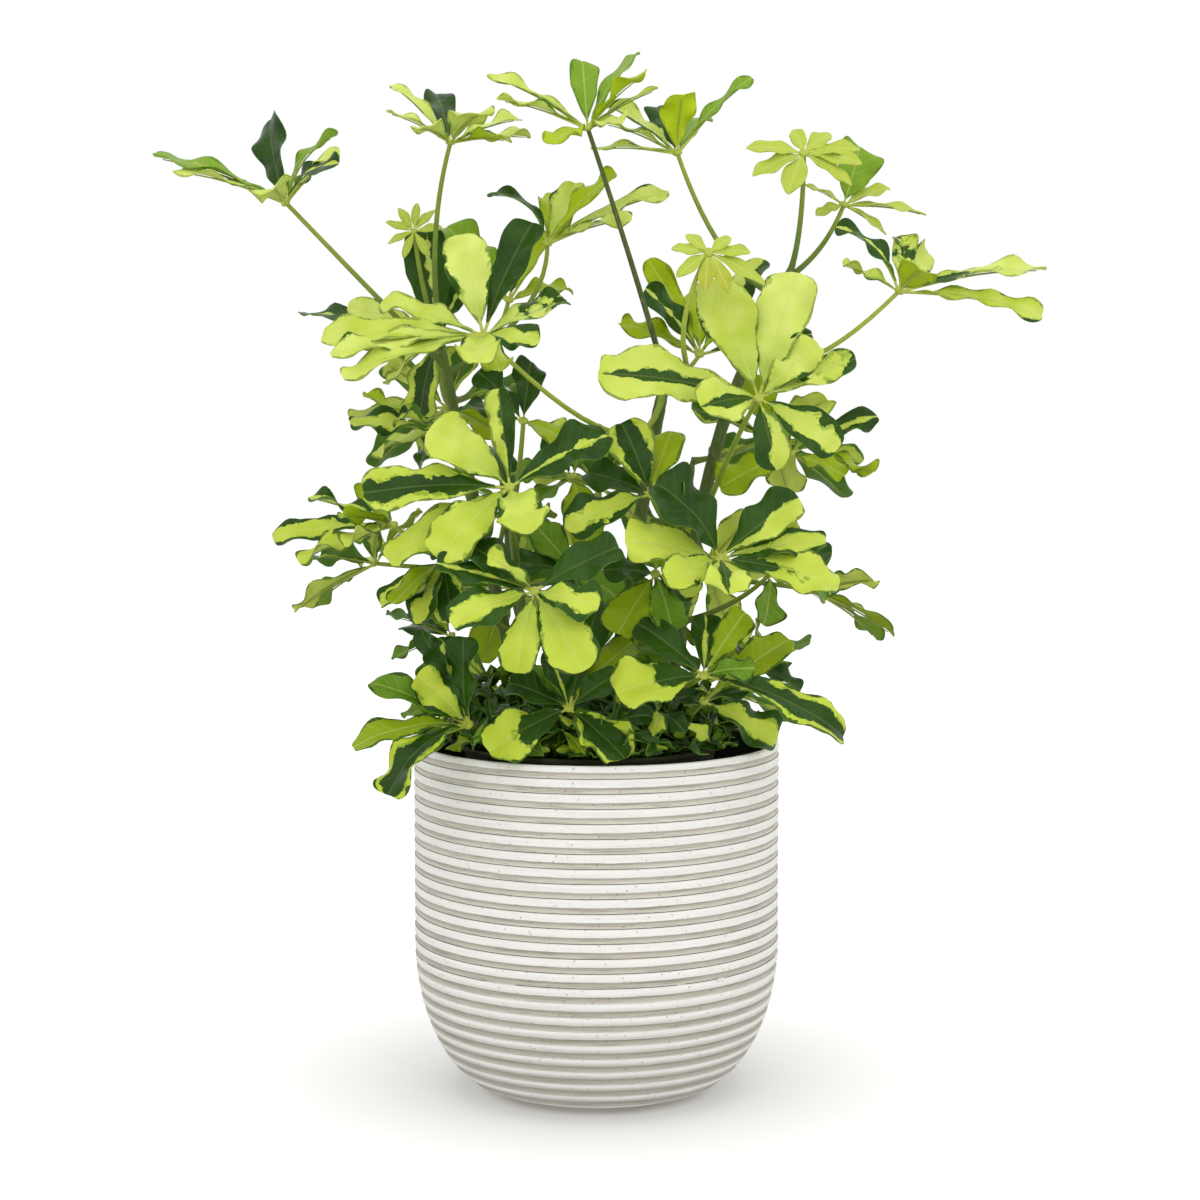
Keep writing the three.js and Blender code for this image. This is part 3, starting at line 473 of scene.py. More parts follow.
# Leaf looks: how dark green spreads on a blade. The four numbers are the share at the rib, what the margins
# add, what the right half adds and the left half takes, and what the tip adds. Above zero the blade is dark.
leafLooks = {
    "y": dict(dark=(-0.96, 0.88, 0, 0)),  # chartreuse with a thin dark margin
    "m": dict(dark=(-0.62, 0.95, 0, 0)),  # chartreuse with a thick dark margin
    "p": dict(dark=(0.66, -1.05, 0, 0)),  # dark with a yellow margin
    "s": dict(dark=(-0.2, 1.3, 0, 0)),  # dark with a yellow stripe along the rib
    "h": dict(dark=(0, 0, 1, 0)),  # one half dark
    "b": dict(dark=(0.75, -0.5, 0.2, -1.2)),  # dark at the base
    "c": dict(dark=(0.7, -2, 0.4, -0.5)),  # a dark stripe along the rib
    "e": dict(dark=(-0.8, 0, 0, 1)),  # a dark tip
    "d": dict(dark=(2, 0, 0, 0)),  # dark all over
    "g": dict(dark=(-2, 0, 0, 0), middle=1),  # plain middle green
    "l": dict(dark=(-1.1, 0.7, 0, 0), lime=1),  # lime, where the light comes through
    "w": dict(dark=(-2, 0, 0, 0), young=0.7),  # young and pale
    "r": dict(dark=(-2, 0, 0, 0), young=1),  # just out of the bud, with a bronze base
}

# Leaflet: a blade's rows from its neck to its tip, each (place along the rib, share of the full width), for
# full-grown, small and young blades
leaflet = dict(rows=[(0.1, 0.06), (0.14, 0.12), (0.19, 0.24), (0.26, 0.4), (0.34, 0.56), (0.43, 0.72), (0.52, 0.86),
                     (0.61, 0.95), (0.7, 1), (0.79, 1), (0.87, 0.96), (0.94, 0.83), (0.985, 0.6), (1, 0.34)],
               smallRows=[(0.1, 0.1), (0.22, 0.36), (0.38, 0.7), (0.55, 0.95), (0.72, 1), (0.88, 0.84), (1, 0.3)],
               youngRows=[(0.08, 0.08), (0.18, 0.3), (0.3, 0.64), (0.43, 0.9), (0.56, 1), (0.69, 0.96), (0.81, 0.78),
                          (0.91, 0.48), (1, 0.1)],
               columns=6, smallColumns=4, arch=0.1, thickness=0.55, smooth=60,
               # height, length and how fast it grows from the rib to the margin: the cup, the waves and the
               # ripples, which also draw the margin in and out
               cup=0.24, cupPower=0.4, waveLength=0.47, waveHeight=0.17, wavePower=1.6, rippleLength=19,
               rippleHeight=0.09, ripplePower=3, rippleDraw=0.05,
               # crinkles: height and size, how they grow towards the margin, and from where on towards the tip
               crinkle=1.6, crinkleSize=8, crinklePower=4, tipFrom=0.85, crinkleRange=40,
               # a blade narrower than curlWidth curls: by how much at most, over how many mm, and how it turns
               curlWidth=22, curlRange=9, curlHeight=0.4, curlLength=25, twist=0.35, curlTwist=1.6,
               # young leaves, high up, are smoother: from which height on, over how many mm, and by how much
               calmFrom=430, calmRange=120, calm=0.6,
               # how much the dark part's size changes from blade to blade
               change=0.16)

# Stalks, ribs and stems: a swollen foot on each stalk, a knob where the leaflets meet, and scars on the stems
stalks = dict(foot=2.7, base=1.75, tip=1.25, knob=3, knobShare=0.1, ribRadii=(0.95, 0.25), ribEnd=0.92,
              stemDepth=22, stemSides=12, stemSteps=36, sides=8, steps=14, ribSides=6, ribSteps=7,
              scars=9, firstScar=0.12, lastScar=0.98, scarWidth=0.012, scarHeight=0.4, cut=0.6, smooth=60,
              # the knob's ball: how flat it is, from which height on it is dimpled, and how deep
              knobSides=12, knobRings=7, flatness=0.62, dimpleFrom=0.6, dimple=0.3,
              # how far the rib stands below the blade, how soon, and below which length of leaflet it is slimmer
              ribBelow=0.4, ribRise=5, ribSlim=60,
              footTaper=0.05,  # how fast a stalk's swollen foot ends, as a share of the stalk
              # the age at the foot and the tip of stems, ribs and stalks: 0 is yellow and young, 1 is old
              stemAges=(1, 0.7), ribAges=(0.04, 0.34), knobAge=0.1, ages=(0.72, 0.3))

# Sprouts: low shoots with small curled leaflets, which cover the soil between the stems. Those after the inner
# ones stand along the grower pot's wall and lean over its lip.
sprouts = dict(count=225, inner=180, footReach=61, spiral=2.4, bare=50, lean=(0, 27), edgeLean=(16, 32),
               height=(7, 44), leaflets=(3, 5), length=(12, 26), width=(0.36, 0.55), droop=(-0.5, 0.7), arch=0.25,
               # most sprout looks are dark green, partly as painted shade among the low leaves
               radii=(1.05, 0.7, 0.56), upwards=1.2, scatter=0.7, over=2, looks="gdddldgsddyd", seed=5000)

# Leaves stay above the soil and both rims, hang down only outside the cover pot, and stay in the CAD box
clearance = dict(overSoil=192, overRims=206, rise=(52, 68), outside=107, fall=6, soft=3, margin=0.7)

# Shoots, as they are seen from the front. A place is (across, up, back): across and up are read in the plane
# through the pot's axis, and back moves the point along the sight line. A stem's points are (x, y, z).
# A leaflet is its tip's place beyond the leaf's middle, its width, and how much it arches if not as usual.
shoots = {
    "shoot_left": dict(
        stem=[(-38, 16), (-41, 18, 205), (-62, 24, 300), (-82, 24, 389), (-90, 22, 430)], radius=(4.2, 2.6),
        leaves=[
            dict(at=(-177, 512, 5), start=0.93, via=(-122, 455, 12), lean=(-0.7, 0.15), looks="gydygys",
                 leaflets=[(-76, 26, 0, 21), (-64, 18, -12, 15), (-8, 47, 36, 23), (-7, 8, -44, 24),
                           (29, 38, 26, 19, 0.25), (31, 29, -12, 16), (30, 22, -32, 15, 0.25)]),
            dict(at=(-83, 546, 20), start=1, via=(-92, 490, 22), lean=(0, 0.1), looks="yydyyyly",
                 leaflets=[(-33, 32, 16, 15), (-36, 17, -12, 14), (-8, 27, 42, 18), (17, 16, -44, 24),
                           (39, 13, 25, 16), (46, 3, -4, 15), (33, 1, -30, 15), (-18, 8, -38, 16)]),
            dict(at=(-104, 496, 42), start=0.95, via=(-98, 460, 36), lean=(-0.2, 1.6), looks="wwwwwwww",
                 leaflets=[(16, 2, -3, 5.5), (12, 12, 2, 5.5), (2, 16, 4, 5.5), (-9, 13, 2, 5.5),
                           (-16, 5, -2, 5.5), (-15, -7, -6, 5.5), (-6, -15, -8, 5.5), (8, -14, -7, 5.5)]),
            dict(at=(-50, 457, 52), start=0.82, via=(-68, 410, 45), lean=(0.1, 0.5), looks="gldld",
                 leaflets=[(-36, 41, 12, 28), (46, 59, 0, 17), (10, 40, 36, 22), (34, 6, 30, 20),
                           (-32, 8, 40, 20)]),
            dict(at=(-28, 489, 34), start=0.9, via=(-42, 450, 36), lean=(0.3, 0.3), looks="dylyyl",
                 leaflets=[(-34, 27, 10, 12, 0.5), (16, 34, 14, 18), (39, 40, 2, 16), (69, 29, -6, 15),
                           (48, 14, -26, 15), (4, 28, 44, 18)]),
            dict(at=(-91, 435, 48), start=0.8, via=(-88, 405, 42), lean=(-0.1, 0.7), looks="sspysyl",
                 leaflets=[(-6, 61, 8, 30), (15, 30, 22, 12), (-10, -44, 6, 24), (-51, 18, 12, 16),
                           (-78, 14, 26, 17), (-28, -26, 22, 16), (-46, -4, 44, 18)]),
            dict(at=(-88, 382, -2), start=0.55, via=(-76, 350, 8), lean=(-0.5, 0.5), looks="mlmdy",
                 leaflets=[(-54, 4, -10, 18), (-45, 20, 10, 13), (-27, 8, -30, 14), (-14, -22, 8, 22),
                           (-38, -12, 24, 18)]),
            dict(at=(-84, 264, 22), start=0.24, lean=(-0.7, 0.2), looks="dglgd",
                 leaflets=[(-38, 12, -4, 20), (-34, -14, -8, 22), (-14, 30, 6, 20), (-16, -24, 22, 22),
                           (-24, 6, 34, 22)]),
            dict(at=(-52, 338, 44), start=0.5, lean=(0, -0.3), looks="gdlgd",
                 leaflets=[(-32, 16, 14, 22), (-6, 34, 18, 22), (28, -6, 8, 20), (16, -24, 0, 22),
                           (-24, -24, 14, 22)]),
        ]),
    "shoot_front_left": dict(
        stem=[(-30, -22), (-32, -24, 205), (-42, -34, 280), (-48, -40, 335)], radius=(3.6, 2.2),
        leaves=[
            dict(at=(-50, 350, -88), start=0.85, lean=(-0.1, 1.1), looks="yhspyyy",
                 leaflets=[(-46, 33, -4, 28), (-6, 56, 6, 16), (57, 30, 6, 27), (-84, -4, -10, 27),
                           (-70, -43, -14, 21), (-41, -41, -30, 29), (11, -26, -38, 28)]),
            dict(at=(-88, 308, -62), start=0.6, lean=(-0.5, 0.9), looks="mlmpd",
                 leaflets=[(-36, -27, -8, 18), (-29, -26, -26, 17), (-14, -37, -22, 19), (6, -36, -14, 22),
                           (-26, 7, -20, 17)]),
            dict(at=(-117, 328, -32), start=0.78, lean=(-0.5, 0.7), looks="mymlyl",
                 leaflets=[(-70, -7, -4, 14), (-55, -21, -18, 18), (-48, 16, 14, 14), (-29, 5, -34, 14),
                           (-26, -12, -38, 15), (-16, 24, 26, 18)]),
            dict(at=(-42, 388, -30), start=1, lean=(0.1, 0.7), looks="ddlyd",
                 leaflets=[(-26, 28, -6, 18), (4, 34, 20, 18), (24, -12, -24, 18), (30, -14, 16, 20),
                           (-34, 8, 18, 20)]),
        ]),
    "shoot_front": dict(
        stem=[(-2, -38), (-3, -40, 205), (-12, -52, 255)], radius=(3.2, 2.2),
        leaves=[
            dict(at=(-36, 290, -116), start=1, lean=(-0.1, 1.2), looks="dysdmyym",
                 leaflets=[(-40, 28, 6, 21), (-27, 21, -18, 13), (-56, 15, -4, 16), (49, 25, 8, 25),
                           (-48, -19, -22, 26), (-10, -48, -18, 22), (28, -47, -20, 29), (37, -10, -22, 23)]),
            dict(at=(-16, 222, -80), start=0.62, lean=(0, 0.9), looks="bpdgsdld",
                 leaflets=[(-46, -26, -18, 29), (32, -30, -22, 30), (-36, 15, 4, 19), (-28, 22, 22, 16),
                           (-12, 33, 8, 17), (18, 62, 34, 21), (36, 38, 24, 24), (29, 20, 0, 15)]),
        ]),
    "shoot_low_left": dict(
        stem=[(-46, -28), (-48, -31, 205), (-56, -44, 216)], radius=(2.8, 2),
        leaves=[
            dict(at=(-74, 212, -74), start=1, lean=(-0.6, 0.8), looks="sdpmlgd",
                 leaflets=[(-16, 50, 10, 21), (-2, 52, -6, 19), (-47, -42, -40, 29, 0.3), (-31, 29, -6, 22),
                           (-67, -13, -16, 19, 0.2), (-57, 25, -6, 20), (-27, 56, 16, 15)]),
        ]),
    "shoot_front_right": dict(
        stem=[(30, -26), (31, -28, 205), (42, -40, 270), (50, -46, 322)], radius=(3.8, 2.2),
        leaves=[
            dict(at=(71, 309, -88), start=0.82, lean=(0.2, 1.1), looks="dyycbhm",
                 leaflets=[(-38, 43, -6, 34, 0.3), (-55, 9, -18, 28), (-30, -14, -32, 21), (5, -20, -42, 24),
                           (69, -17, -12, 26), (45, 34, 2, 25), (61, 10, 2, 18)]),
            dict(at=(62, 241, -92), start=0.5, lean=(0.1, 0.9), looks="bpdsglg",
                 leaflets=[(-51, -11, -26, 32), (81, -36, 0, 23, 0.2), (-38, 30, 10, 18), (1, 35, 14, 16),
                           (29, 4, -12, 15), (24, 37, 10, 17), (-36, 16, 24, 16)]),
            dict(at=(62, 226, -58), start=0.3, via=(75, 236, -44), lean=(0.3, 0.9), looks="myld",
                 leaflets=[(42, -24, 4, 26), (-14, -24, 24, 18), (50, 36, 26, 22), (34, 8, 30, 16)]),
            dict(at=(31, 346, -72), start=1, lean=(0, 1), looks="pmldd",
                 leaflets=[(-17, 41, 0, 27), (-48, -20, -14, 25), (12, 36, 18, 20), (-36, 12, 16, 20),
                           (18, -2, -24, 18)]),
            dict(at=(34, 300, -60), start=0.66, lean=(0.1, 1.1), looks="lgdml",
                 leaflets=[(-22, -36, -14, 26), (10, -34, -22, 22), (-30, 2, -18, 20), (24, -12, -12, 20),
                           (2, 26, -10, 18)]),
        ]),
    "shoot_tall_right": dict(
        stem=[(38, 14), (40, 15, 205), (54, 12, 300), (74, 4, 390), (100, -4, 452), (110, -5, 472)],
        radius=(4.6, 2.8),
        leaves=[
            dict(at=(118, 540, -16), start=1, via=(116, 500, -10), lean=(0, 1), looks="wwwwwwww",
                 leaflets=[(-33, 3, -2, 11), (-29, -13, -8, 13), (-9, -23, -12, 14), (-6, 13, 10, 10),
                           (15, 11, 10, 12), (32, 2, 2, 11), (33, -6, -4, 12), (27, -18, -10, 10)]),
            dict(at=(141, 511, 10), start=0.97, lean=(0.4, 0.3), looks="gwwwww",
                 leaflets=[(8, 33, 12, 28), (26, 9, 8, 15), (47, -6, -2, 13), (-23, 11, 4, 11), (-16, -6, -6, 10),
                           (24, -17, -6, 10)]),
            dict(at=(173, 462, -20), start=0.72, via=(122, 424, -10), lean=(0.6, 0.4), looks="syelbyy",
                 ages=(0.35, 0.15),
                 leaflets=[(-36, 36, 12, 15, 0.3), (-33, 15, -6, 11), (2, 32, 20, 15), (12, 12, -40, 22),
                           (85, 12, -4, 21), (82, -14, -14, 15), (16, 22, 34, 16)]),
            dict(at=(93, 401, -66), start=0.45, via=(78, 372, -30), lean=(0, 1.7), looks="cyyemhcy",
                 ages=(0.45, 0.15),
                 leaflets=[(-92, 14, -12, 34), (-28, 67, 6, 32), (21, 71, 14, 31), (55, 22, -2, 17),
                           (46, -29, -8, 24), (10, -41, -12, 21), (-33, -5, -32, 28), (34, 31, 0, 22)]),
            dict(at=(111, 369, 2), start=0.52, lean=(0.5, 0.6), looks="gslllg",
                 leaflets=[(-14, 20, 6, 22), (50, 22, 8, 15), (50, -11, 2, 14), (32, -13, -26, 16),
                           (-40, -20, -12, 24), (22, 20, 34, 19)]),
            dict(at=(100, 300, 6), start=0.34, lean=(0.7, 0.3), looks="dglgd",
                 leaflets=[(36, 12, -6, 22), (32, -16, -4, 22), (12, 34, 2, 20), (-4, -30, -14, 22),
                           (20, 4, 34, 22)]),
            dict(at=(90, 246, 18), start=0.2, lean=(0.7, 0.3), looks="gdlgd",
                 leaflets=[(34, 14, -10, 22), (28, -14, 10, 20), (2, 28, -8, 20), (14, 4, 34, 22),
                           (-20, 20, 12, 20)]),
            dict(at=(64, 484, -84), start=0.6, via=(50, 428, -66), lean=(0, 1.4), looks="wwwwwrrw",
                 ages=(0.35, 0.15),
                 leaflets=[(-21, 2, -2, 8), (-13, 10, 2, 7.5), (13, 8, 4, 7.5), (24, 0, 2, 7.5),
                           (-18, -14, -6, 8.5), (-2, -22, -6, 9), (12, -23, -4, 9), (32, -18, 2, 9)]),
            dict(at=(46, 540, 26), start=0.86, via=(72, 486, 12), lean=(-0.2, 0.1), looks="yyydlgg",
                 leaflets=[(-43, 17, 4, 19), (-39, 28, 18, 15), (-49, 2, -4, 14), (-12, 26, 34, 16),
                           (3, 33, -20, 22), (42, 42, 10, 12), (16, 20, 38, 15)]),
        ]),
    "shoot_tall_centre": dict(
        stem=[(6, 6), (7, 7, 205), (22, 8, 310), (36, 8, 394), (40, 8, 412)], radius=(5, 3),
        leaves=[
            dict(at=(-5, 554, 0), start=1, via=(18, 484, 4), lean=(-0.1, 0.1), looks="yylggyly", ages=(1, 0.8),
                 leaflets=[(-57, 30, -2, 13), (-51, 16, -16, 15), (33, 31, -16, 24), (-3, 37, 22, 17),
                           (29, 43, 24, 17), (40, 22, 4, 13), (-19, -9, -38, 20), (20, 3, -36, 15)]),
            dict(at=(-65, 437, -48), start=0.88, via=(8, 382, -22), lean=(-0.2, 0.7), looks="ydyyyyyyme",
                 ages=(0.4, 0.15),
                 leaflets=[(-12, 57, 8, 26), (29, 64, 22, 23), (-58, 18, 14, 18), (-92, -2, -2, 20),
                           (-80, -24, -26, 20), (-87, -11, -14, 17), (-3, -16, -46, 24), (10, -21, -32, 16),
                           (32, -4, -24, 19), (48, 19, 10, 24)]),
            dict(at=(59, 426, 46), start=0.95, lean=(0, 0.7), looks="llshlsl",
                 leaflets=[(-46, 18, 4, 17), (-30, 54, 6, 15), (-31, 37, -12, 18), (37, 54, 4, 18),
                           (29, 34, -12, 19), (65, 11, 2, 19), (0, 36, 30, 20)]),
            dict(at=(-12, 300, 4), start=0.4, lean=(-0.3, 0.7), looks="dglgd",
                 leaflets=[(-38, 6, -8, 24), (-24, 28, 8, 22), (14, 34, 0, 24), (24, -14, -28, 24),
                           (-16, -24, -22, 24)]),
            dict(at=(-14, 356, 30), start=0.6, lean=(-0.2, 0.3), looks="gdglg",
                 leaflets=[(-36, 0, -8, 22), (-20, 30, 0, 22), (14, 30, 10, 22), (8, -28, -14, 22),
                           (-24, -20, -8, 22)]),
            dict(at=(24, 268, 36), start=0.26, lean=(0.1, -0.4), looks="dgdlg",
                 leaflets=[(-34, 2, 4, 22), (-6, 30, -10, 22), (26, 22, -8, 20), (34, -8, 8, 22),
                           (-4, -28, 4, 22)]),
            dict(at=(8, 232, -18), start=0.16, lean=(0.1, 0.6), looks="dgdl",
                 leaflets=[(-26, -6, -12, 20), (-14, 18, 8, 18), (16, 14, -10, 20), (6, -16, -26, 20)]),
        ]),
    "shoot_back_left": dict(
        stem=[(-30, 44), (-32, 47, 205), (-50, 64, 290), (-56, 80, 352)], radius=(3.8, 2.2),
        leaves=[
            dict(at=(-86, 396, 104), start=1, lean=(-0.4, -0.6), looks="ympslyd",
                 leaflets=[(-56, -8, 4, 24), (-34, 24, -26, 22), (14, 34, -30, 24), (46, 14, -2, 24),
                           (34, -18, 40, 24), (-6, -30, 52, 26), (-42, -34, 28, 22)]),
            dict(at=(-128, 306, 66), start=0.7, lean=(-0.8, -0.3), looks="ysmlyg",
                 leaflets=[(-46, -28, -6, 22), (-32, 4, -34, 20), (4, 26, -34, 20), (28, 30, 14, 20),
                           (0, 4, 44, 22), (-36, -26, 30, 22)]),
            dict(at=(-50, 292, 138), start=0.62, lean=(-0.2, -0.9), looks="pymsyl",
                 leaflets=[(-50, -2, 6, 24), (-28, 34, -22, 22), (18, 40, -18, 22), (44, 6, 10, 24),
                           (28, -34, 36, 24), (-16, -44, 34, 26)]),
        ]),
    "shoot_back_right": dict(
        stem=[(28, 46), (30, 49, 205), (46, 68, 290), (58, 78, 362)], radius=(3.8, 2.2),
        leaves=[
            dict(at=(98, 378, 96), start=1, lean=(0.4, -0.6), looks="mylpsyd",
                 leaflets=[(54, -14, -2, 24), (34, 22, -24, 22), (-10, 36, -26, 24), (-44, 18, 6, 24),
                           (-30, -14, 46, 24), (12, -32, 50, 26), (46, -34, 24, 22)]),
            dict(at=(126, 290, 70), start=0.68, lean=(0.8, -0.3), looks="lymsyg",
                 leaflets=[(46, -26, -4, 22), (34, 6, -32, 20), (-4, 28, -32, 20), (-26, 30, 16, 20),
                           (2, 2, 44, 22), (36, -28, 30, 22)]),
            dict(at=(62, 302, 146), start=0.62, lean=(0.3, -0.9), looks="hylmpy",
                 leaflets=[(48, -4, 6, 24), (28, 32, -22, 22), (-18, 38, -20, 22), (-42, 8, 10, 24),
                           (-24, -34, 36, 24), (18, -44, 34, 26)]),
        ]),
    "shoot_back": dict(
        stem=[(0, 56), (0, 58, 205), (-3, 72, 258)], radius=(3, 2),
        leaves=[
            dict(at=(2, 350, 112), start=1, lean=(0, -0.6), looks="ysplmy",
                 leaflets=[(-44, 6, 8, 24), (-24, 28, -28, 22), (18, 30, -30, 22), (46, 4, 6, 24),
                           (30, -28, 40, 24), (-14, -34, 46, 24)]),
            dict(at=(-60, 234, 98), start=0.55, lean=(-0.5, -0.6), looks="gmlds",
                 leaflets=[(-52, -18, 8, 24, 0.2), (-28, 26, -12, 20), (22, 28, 0, 20), (34, -2, 34, 22),
                           (-10, -14, 50, 26, 0.25)]),
            dict(at=(60, 232, 96), start=0.5, lean=(0.5, -0.6), looks="slmgd",
                 leaflets=[(52, -18, 8, 24, 0.2), (26, 28, -12, 20), (-18, 32, 0, 20), (-32, 0, 34, 22),
                           (12, -14, 50, 26, 0.25)]),
            dict(at=(2, 252, 120), start=0.8, lean=(0, -0.9), looks="dgsly",
                 leaflets=[(-36, 14, 4, 22), (4, 34, -10, 22), (38, 10, 6, 22), (20, -26, 30, 24),
                           (-20, -26, 28, 24)]),
        ]),
}


def chance(n):
    # from 0 to 1, and always the same for the same number, as in the CAD source
    swing = math.sin(n * 12.9898) * 43758.5453
    return swing - math.floor(swing)


def fromFront(across, up, back):
    eye = Vector(view["eye"])
    return eye + (Vector((across, 0, up)) - eye) * (1 - back / eye.y)


def bowed(start, bend, end, t):
    return start * (1 - t) ** 2 + bend * 2 * t * (1 - t) + end * t * t


def alongStem(points, t):
    # centripetal Catmull-Rom curve through the points, the same as the CAD source's
    last = len(points) - 1
    k = min(int(last * t), last - 1)
    t = last * t - k
    b, c = points[k], points[k + 1]
    a = points[k - 1] if k > 0 else b * 2 - c
    d = points[k + 2] if k + 2 <= last else c * 2 - b
    before, between, after = math.sqrt((b - a).length), math.sqrt((c - b).length), math.sqrt((d - c).length)
    leave = ((b - a) / before - (c - a) / (before + between) + (c - b) / between) * between
    arrive = ((c - b) / between - (d - b) / (between + after) + (d - c) / after) * between
    return b + leave * t + (c * 3 - b * 3 - leave * 2 - arrive) * t ** 2 + (b * 2 - c * 2 + leave + arrive) * t ** 3


def modelRod(name, sides, steps):
    # a closed rod of radius 1 from z = 0 to z = 1, drawn up step by step
    bpy.ops.object.select_all(action="DESELECT")
    bpy.ops.mesh.primitive_circle_add(vertices=sides, radius=1, fill_type="NGON")
    editAll()
    for k in range(steps):
        bpy.ops.mesh.extrude_region_move(TRANSFORM_OT_translate={"value": (0, 0, 1 / steps)})
    bpy.ops.mesh.select_all(action="SELECT")
    bpy.ops.mesh.normals_make_consistent(inside=False)
    bpy.ops.object.mode_set(mode="OBJECT")
    return namePiece(name)


def modelKnob():
    # a small cushion with a dimple on top, radius 1
    bpy.ops.object.select_all(action="DESELECT")
    bpy.ops.mesh.primitive_uv_sphere_add(segments=stalks["knobSides"], ring_count=stalks["knobRings"], radius=1)
    knob = namePiece("knob_model")
    editAll()
    bpy.ops.transform.resize(value=(1, 1, stalks["flatness"]))
    bpy.ops.mesh.select_all(action="DESELECT")
    bpy.ops.object.mode_set(mode="OBJECT")
    for vertex in knob.data.vertices:
        vertex.select = vertex.co.z > stalks["dimpleFrom"]
    bpy.ops.object.mode_set(mode="EDIT")
    bpy.ops.transform.translate(value=(0, 0, -stalks["dimple"]))
    bpy.ops.object.mode_set(mode="OBJECT")
    return knob


def modelBlade(name, rows, columns):
    # a flat grid whose rows are moved and narrowed in turn; it remembers how far out and along each point is
    bpy.ops.object.select_all(action="DESELECT")
    bpy.ops.mesh.primitive_grid_add(x_subdivisions=columns, y_subdivisions=len(rows) - 1, size=2)
    blade = namePiece(name)
    spread = blade.data.attributes.new("spread", "FLOAT_VECTOR", "POINT")
    for vertex in blade.data.vertices:
        along = rows[vertex.index // (columns + 1)][0]
        spread.data[vertex.index].vector = (vertex.co.x, along, 0)
    for k, (along, width) in enumerate(rows):
        bpy.ops.object.mode_set(mode="EDIT")
        bpy.ops.mesh.select_all(action="DESELECT")
        bpy.ops.object.mode_set(mode="OBJECT")
        for vertex in blade.data.vertices:
            vertex.select = vertex.index // (columns + 1) == k
        rise = along - blade.data.vertices[k * (columns + 1)].co.y
        bpy.ops.object.mode_set(mode="EDIT")
        bpy.ops.transform.resize(value=(width, 1, 1))
        bpy.ops.transform.translate(value=(0, rise, 0))
        bpy.ops.object.mode_set(mode="OBJECT")
    return blade


def layRod(rod, centres, radii, ages):
    # the rod's rings follow a line, with a radius and an age at each step: 0 is yellow and young, 1 is old
    last = len(centres) - 1
    side = Vector((0, 1, 0))
    rings = []
    for i, centre in enumerate(centres):
        ahead = (centres[min(i + 1, last)] - centres[max(i - 1, 0)]).normalized()
        side = (side - ahead * side.dot(ahead)).normalized()
        rings.append((centre, side, ahead.cross(side)))
    age = rod.data.attributes.new("age", "FLOAT", "POINT")
    for vertex in rod.data.vertices:
        i = round(vertex.co.z * last)
        centre, across, other = rings[i]
        vertex.co = (centre + (across * vertex.co.x + other * vertex.co.y) * radii[i]) * mm
        age.data[vertex.index].value = ages[i]


def layBlade(blade, knob, tip, bend, up, width, seed, look):
    # the flat blade bends along its rib, with cupped, waved and rippled margins, and a narrow one curls and turns
    # it also keeps what its material reads: the dark part's share, its size in mm, and its tints
    length = (tip - knob).length
    base, margin, right, far = look["dark"]
    changed = leaflet["change"] * (chance(seed + 0.5) - 0.5)
    swap = -1 if chance(seed + 0.7) < 0.5 else 1
    unrest = 1 - leaflet["calm"] * min(1, max(0, (tip.z - leaflet["calmFrom"]) / leaflet["calmRange"]))
    curl = 0 if "young" in look else unrest * min(1, max(0, leaflet["curlWidth"] - width) / leaflet["curlRange"])
    turned = (chance(seed + 0.3) - 0.5) * (leaflet["twist"] + leaflet["curlTwist"] * curl)
    blade.data.attributes.new("measure", "FLOAT_VECTOR", "POINT")
    blade.data.attributes.new("tint", "FLOAT_VECTOR", "POINT")
    spread, measure, tint = [blade.data.attributes[name].data for name in ("spread", "measure", "tint")]
    for vertex in blade.data.vertices:
        out, along, _ = spread[vertex.index].vector
        half = vertex.co.x * width / 2
        reach = abs(half / out) if out else 0
        share = 2 * reach / width
        middle = bowed(knob, bend, tip, along)
        ahead = ((bend - knob) * (1 - along) + (tip - bend) * along).normalized()
        flat = ahead.cross(up).normalized()
        turn = turned * along
        across = flat * math.cos(turn) + flat.cross(ahead) * math.sin(turn)
        over = across.cross(ahead)
        side = -1 if out > 0 else 1
        wave = math.sin(2 * math.pi * (along / leaflet["waveLength"] + chance(seed + side)))
        ripple = math.sin(2 * math.pi * (along * length / leaflet["rippleLength"] + chance(seed + 3 * side)))
        roll = math.sin(2 * math.pi * (along * length / leaflet["curlLength"] + chance(seed + 5 * side)))
        lift = reach * leaflet["cup"] * abs(out) ** leaflet["cupPower"]
        lift += width * leaflet["waveHeight"] * wave * share * abs(out) ** leaflet["wavePower"]
        lift += width * leaflet["rippleHeight"] * unrest * ripple * share * abs(out) ** leaflet["ripplePower"]
        lift += width * leaflet["curlHeight"] * curl * roll * share * out * out
        pull = 1 + leaflet["rippleDraw"] * ripple * abs(out)
        vertex.co = (middle + across * half * pull + over * lift) * mm
        dark = base + changed + margin * abs(out) + right * out * swap + far * along
        spread[vertex.index].vector = (out, along, dark)
        # the last number tells blades apart, so that no two have the same pattern
        measure[vertex.index].vector = (half, along * length, 40 * chance(seed))
        tint[vertex.index].vector = (look.get("lime", 0), look.get("young", 0), look.get("middle", 0))


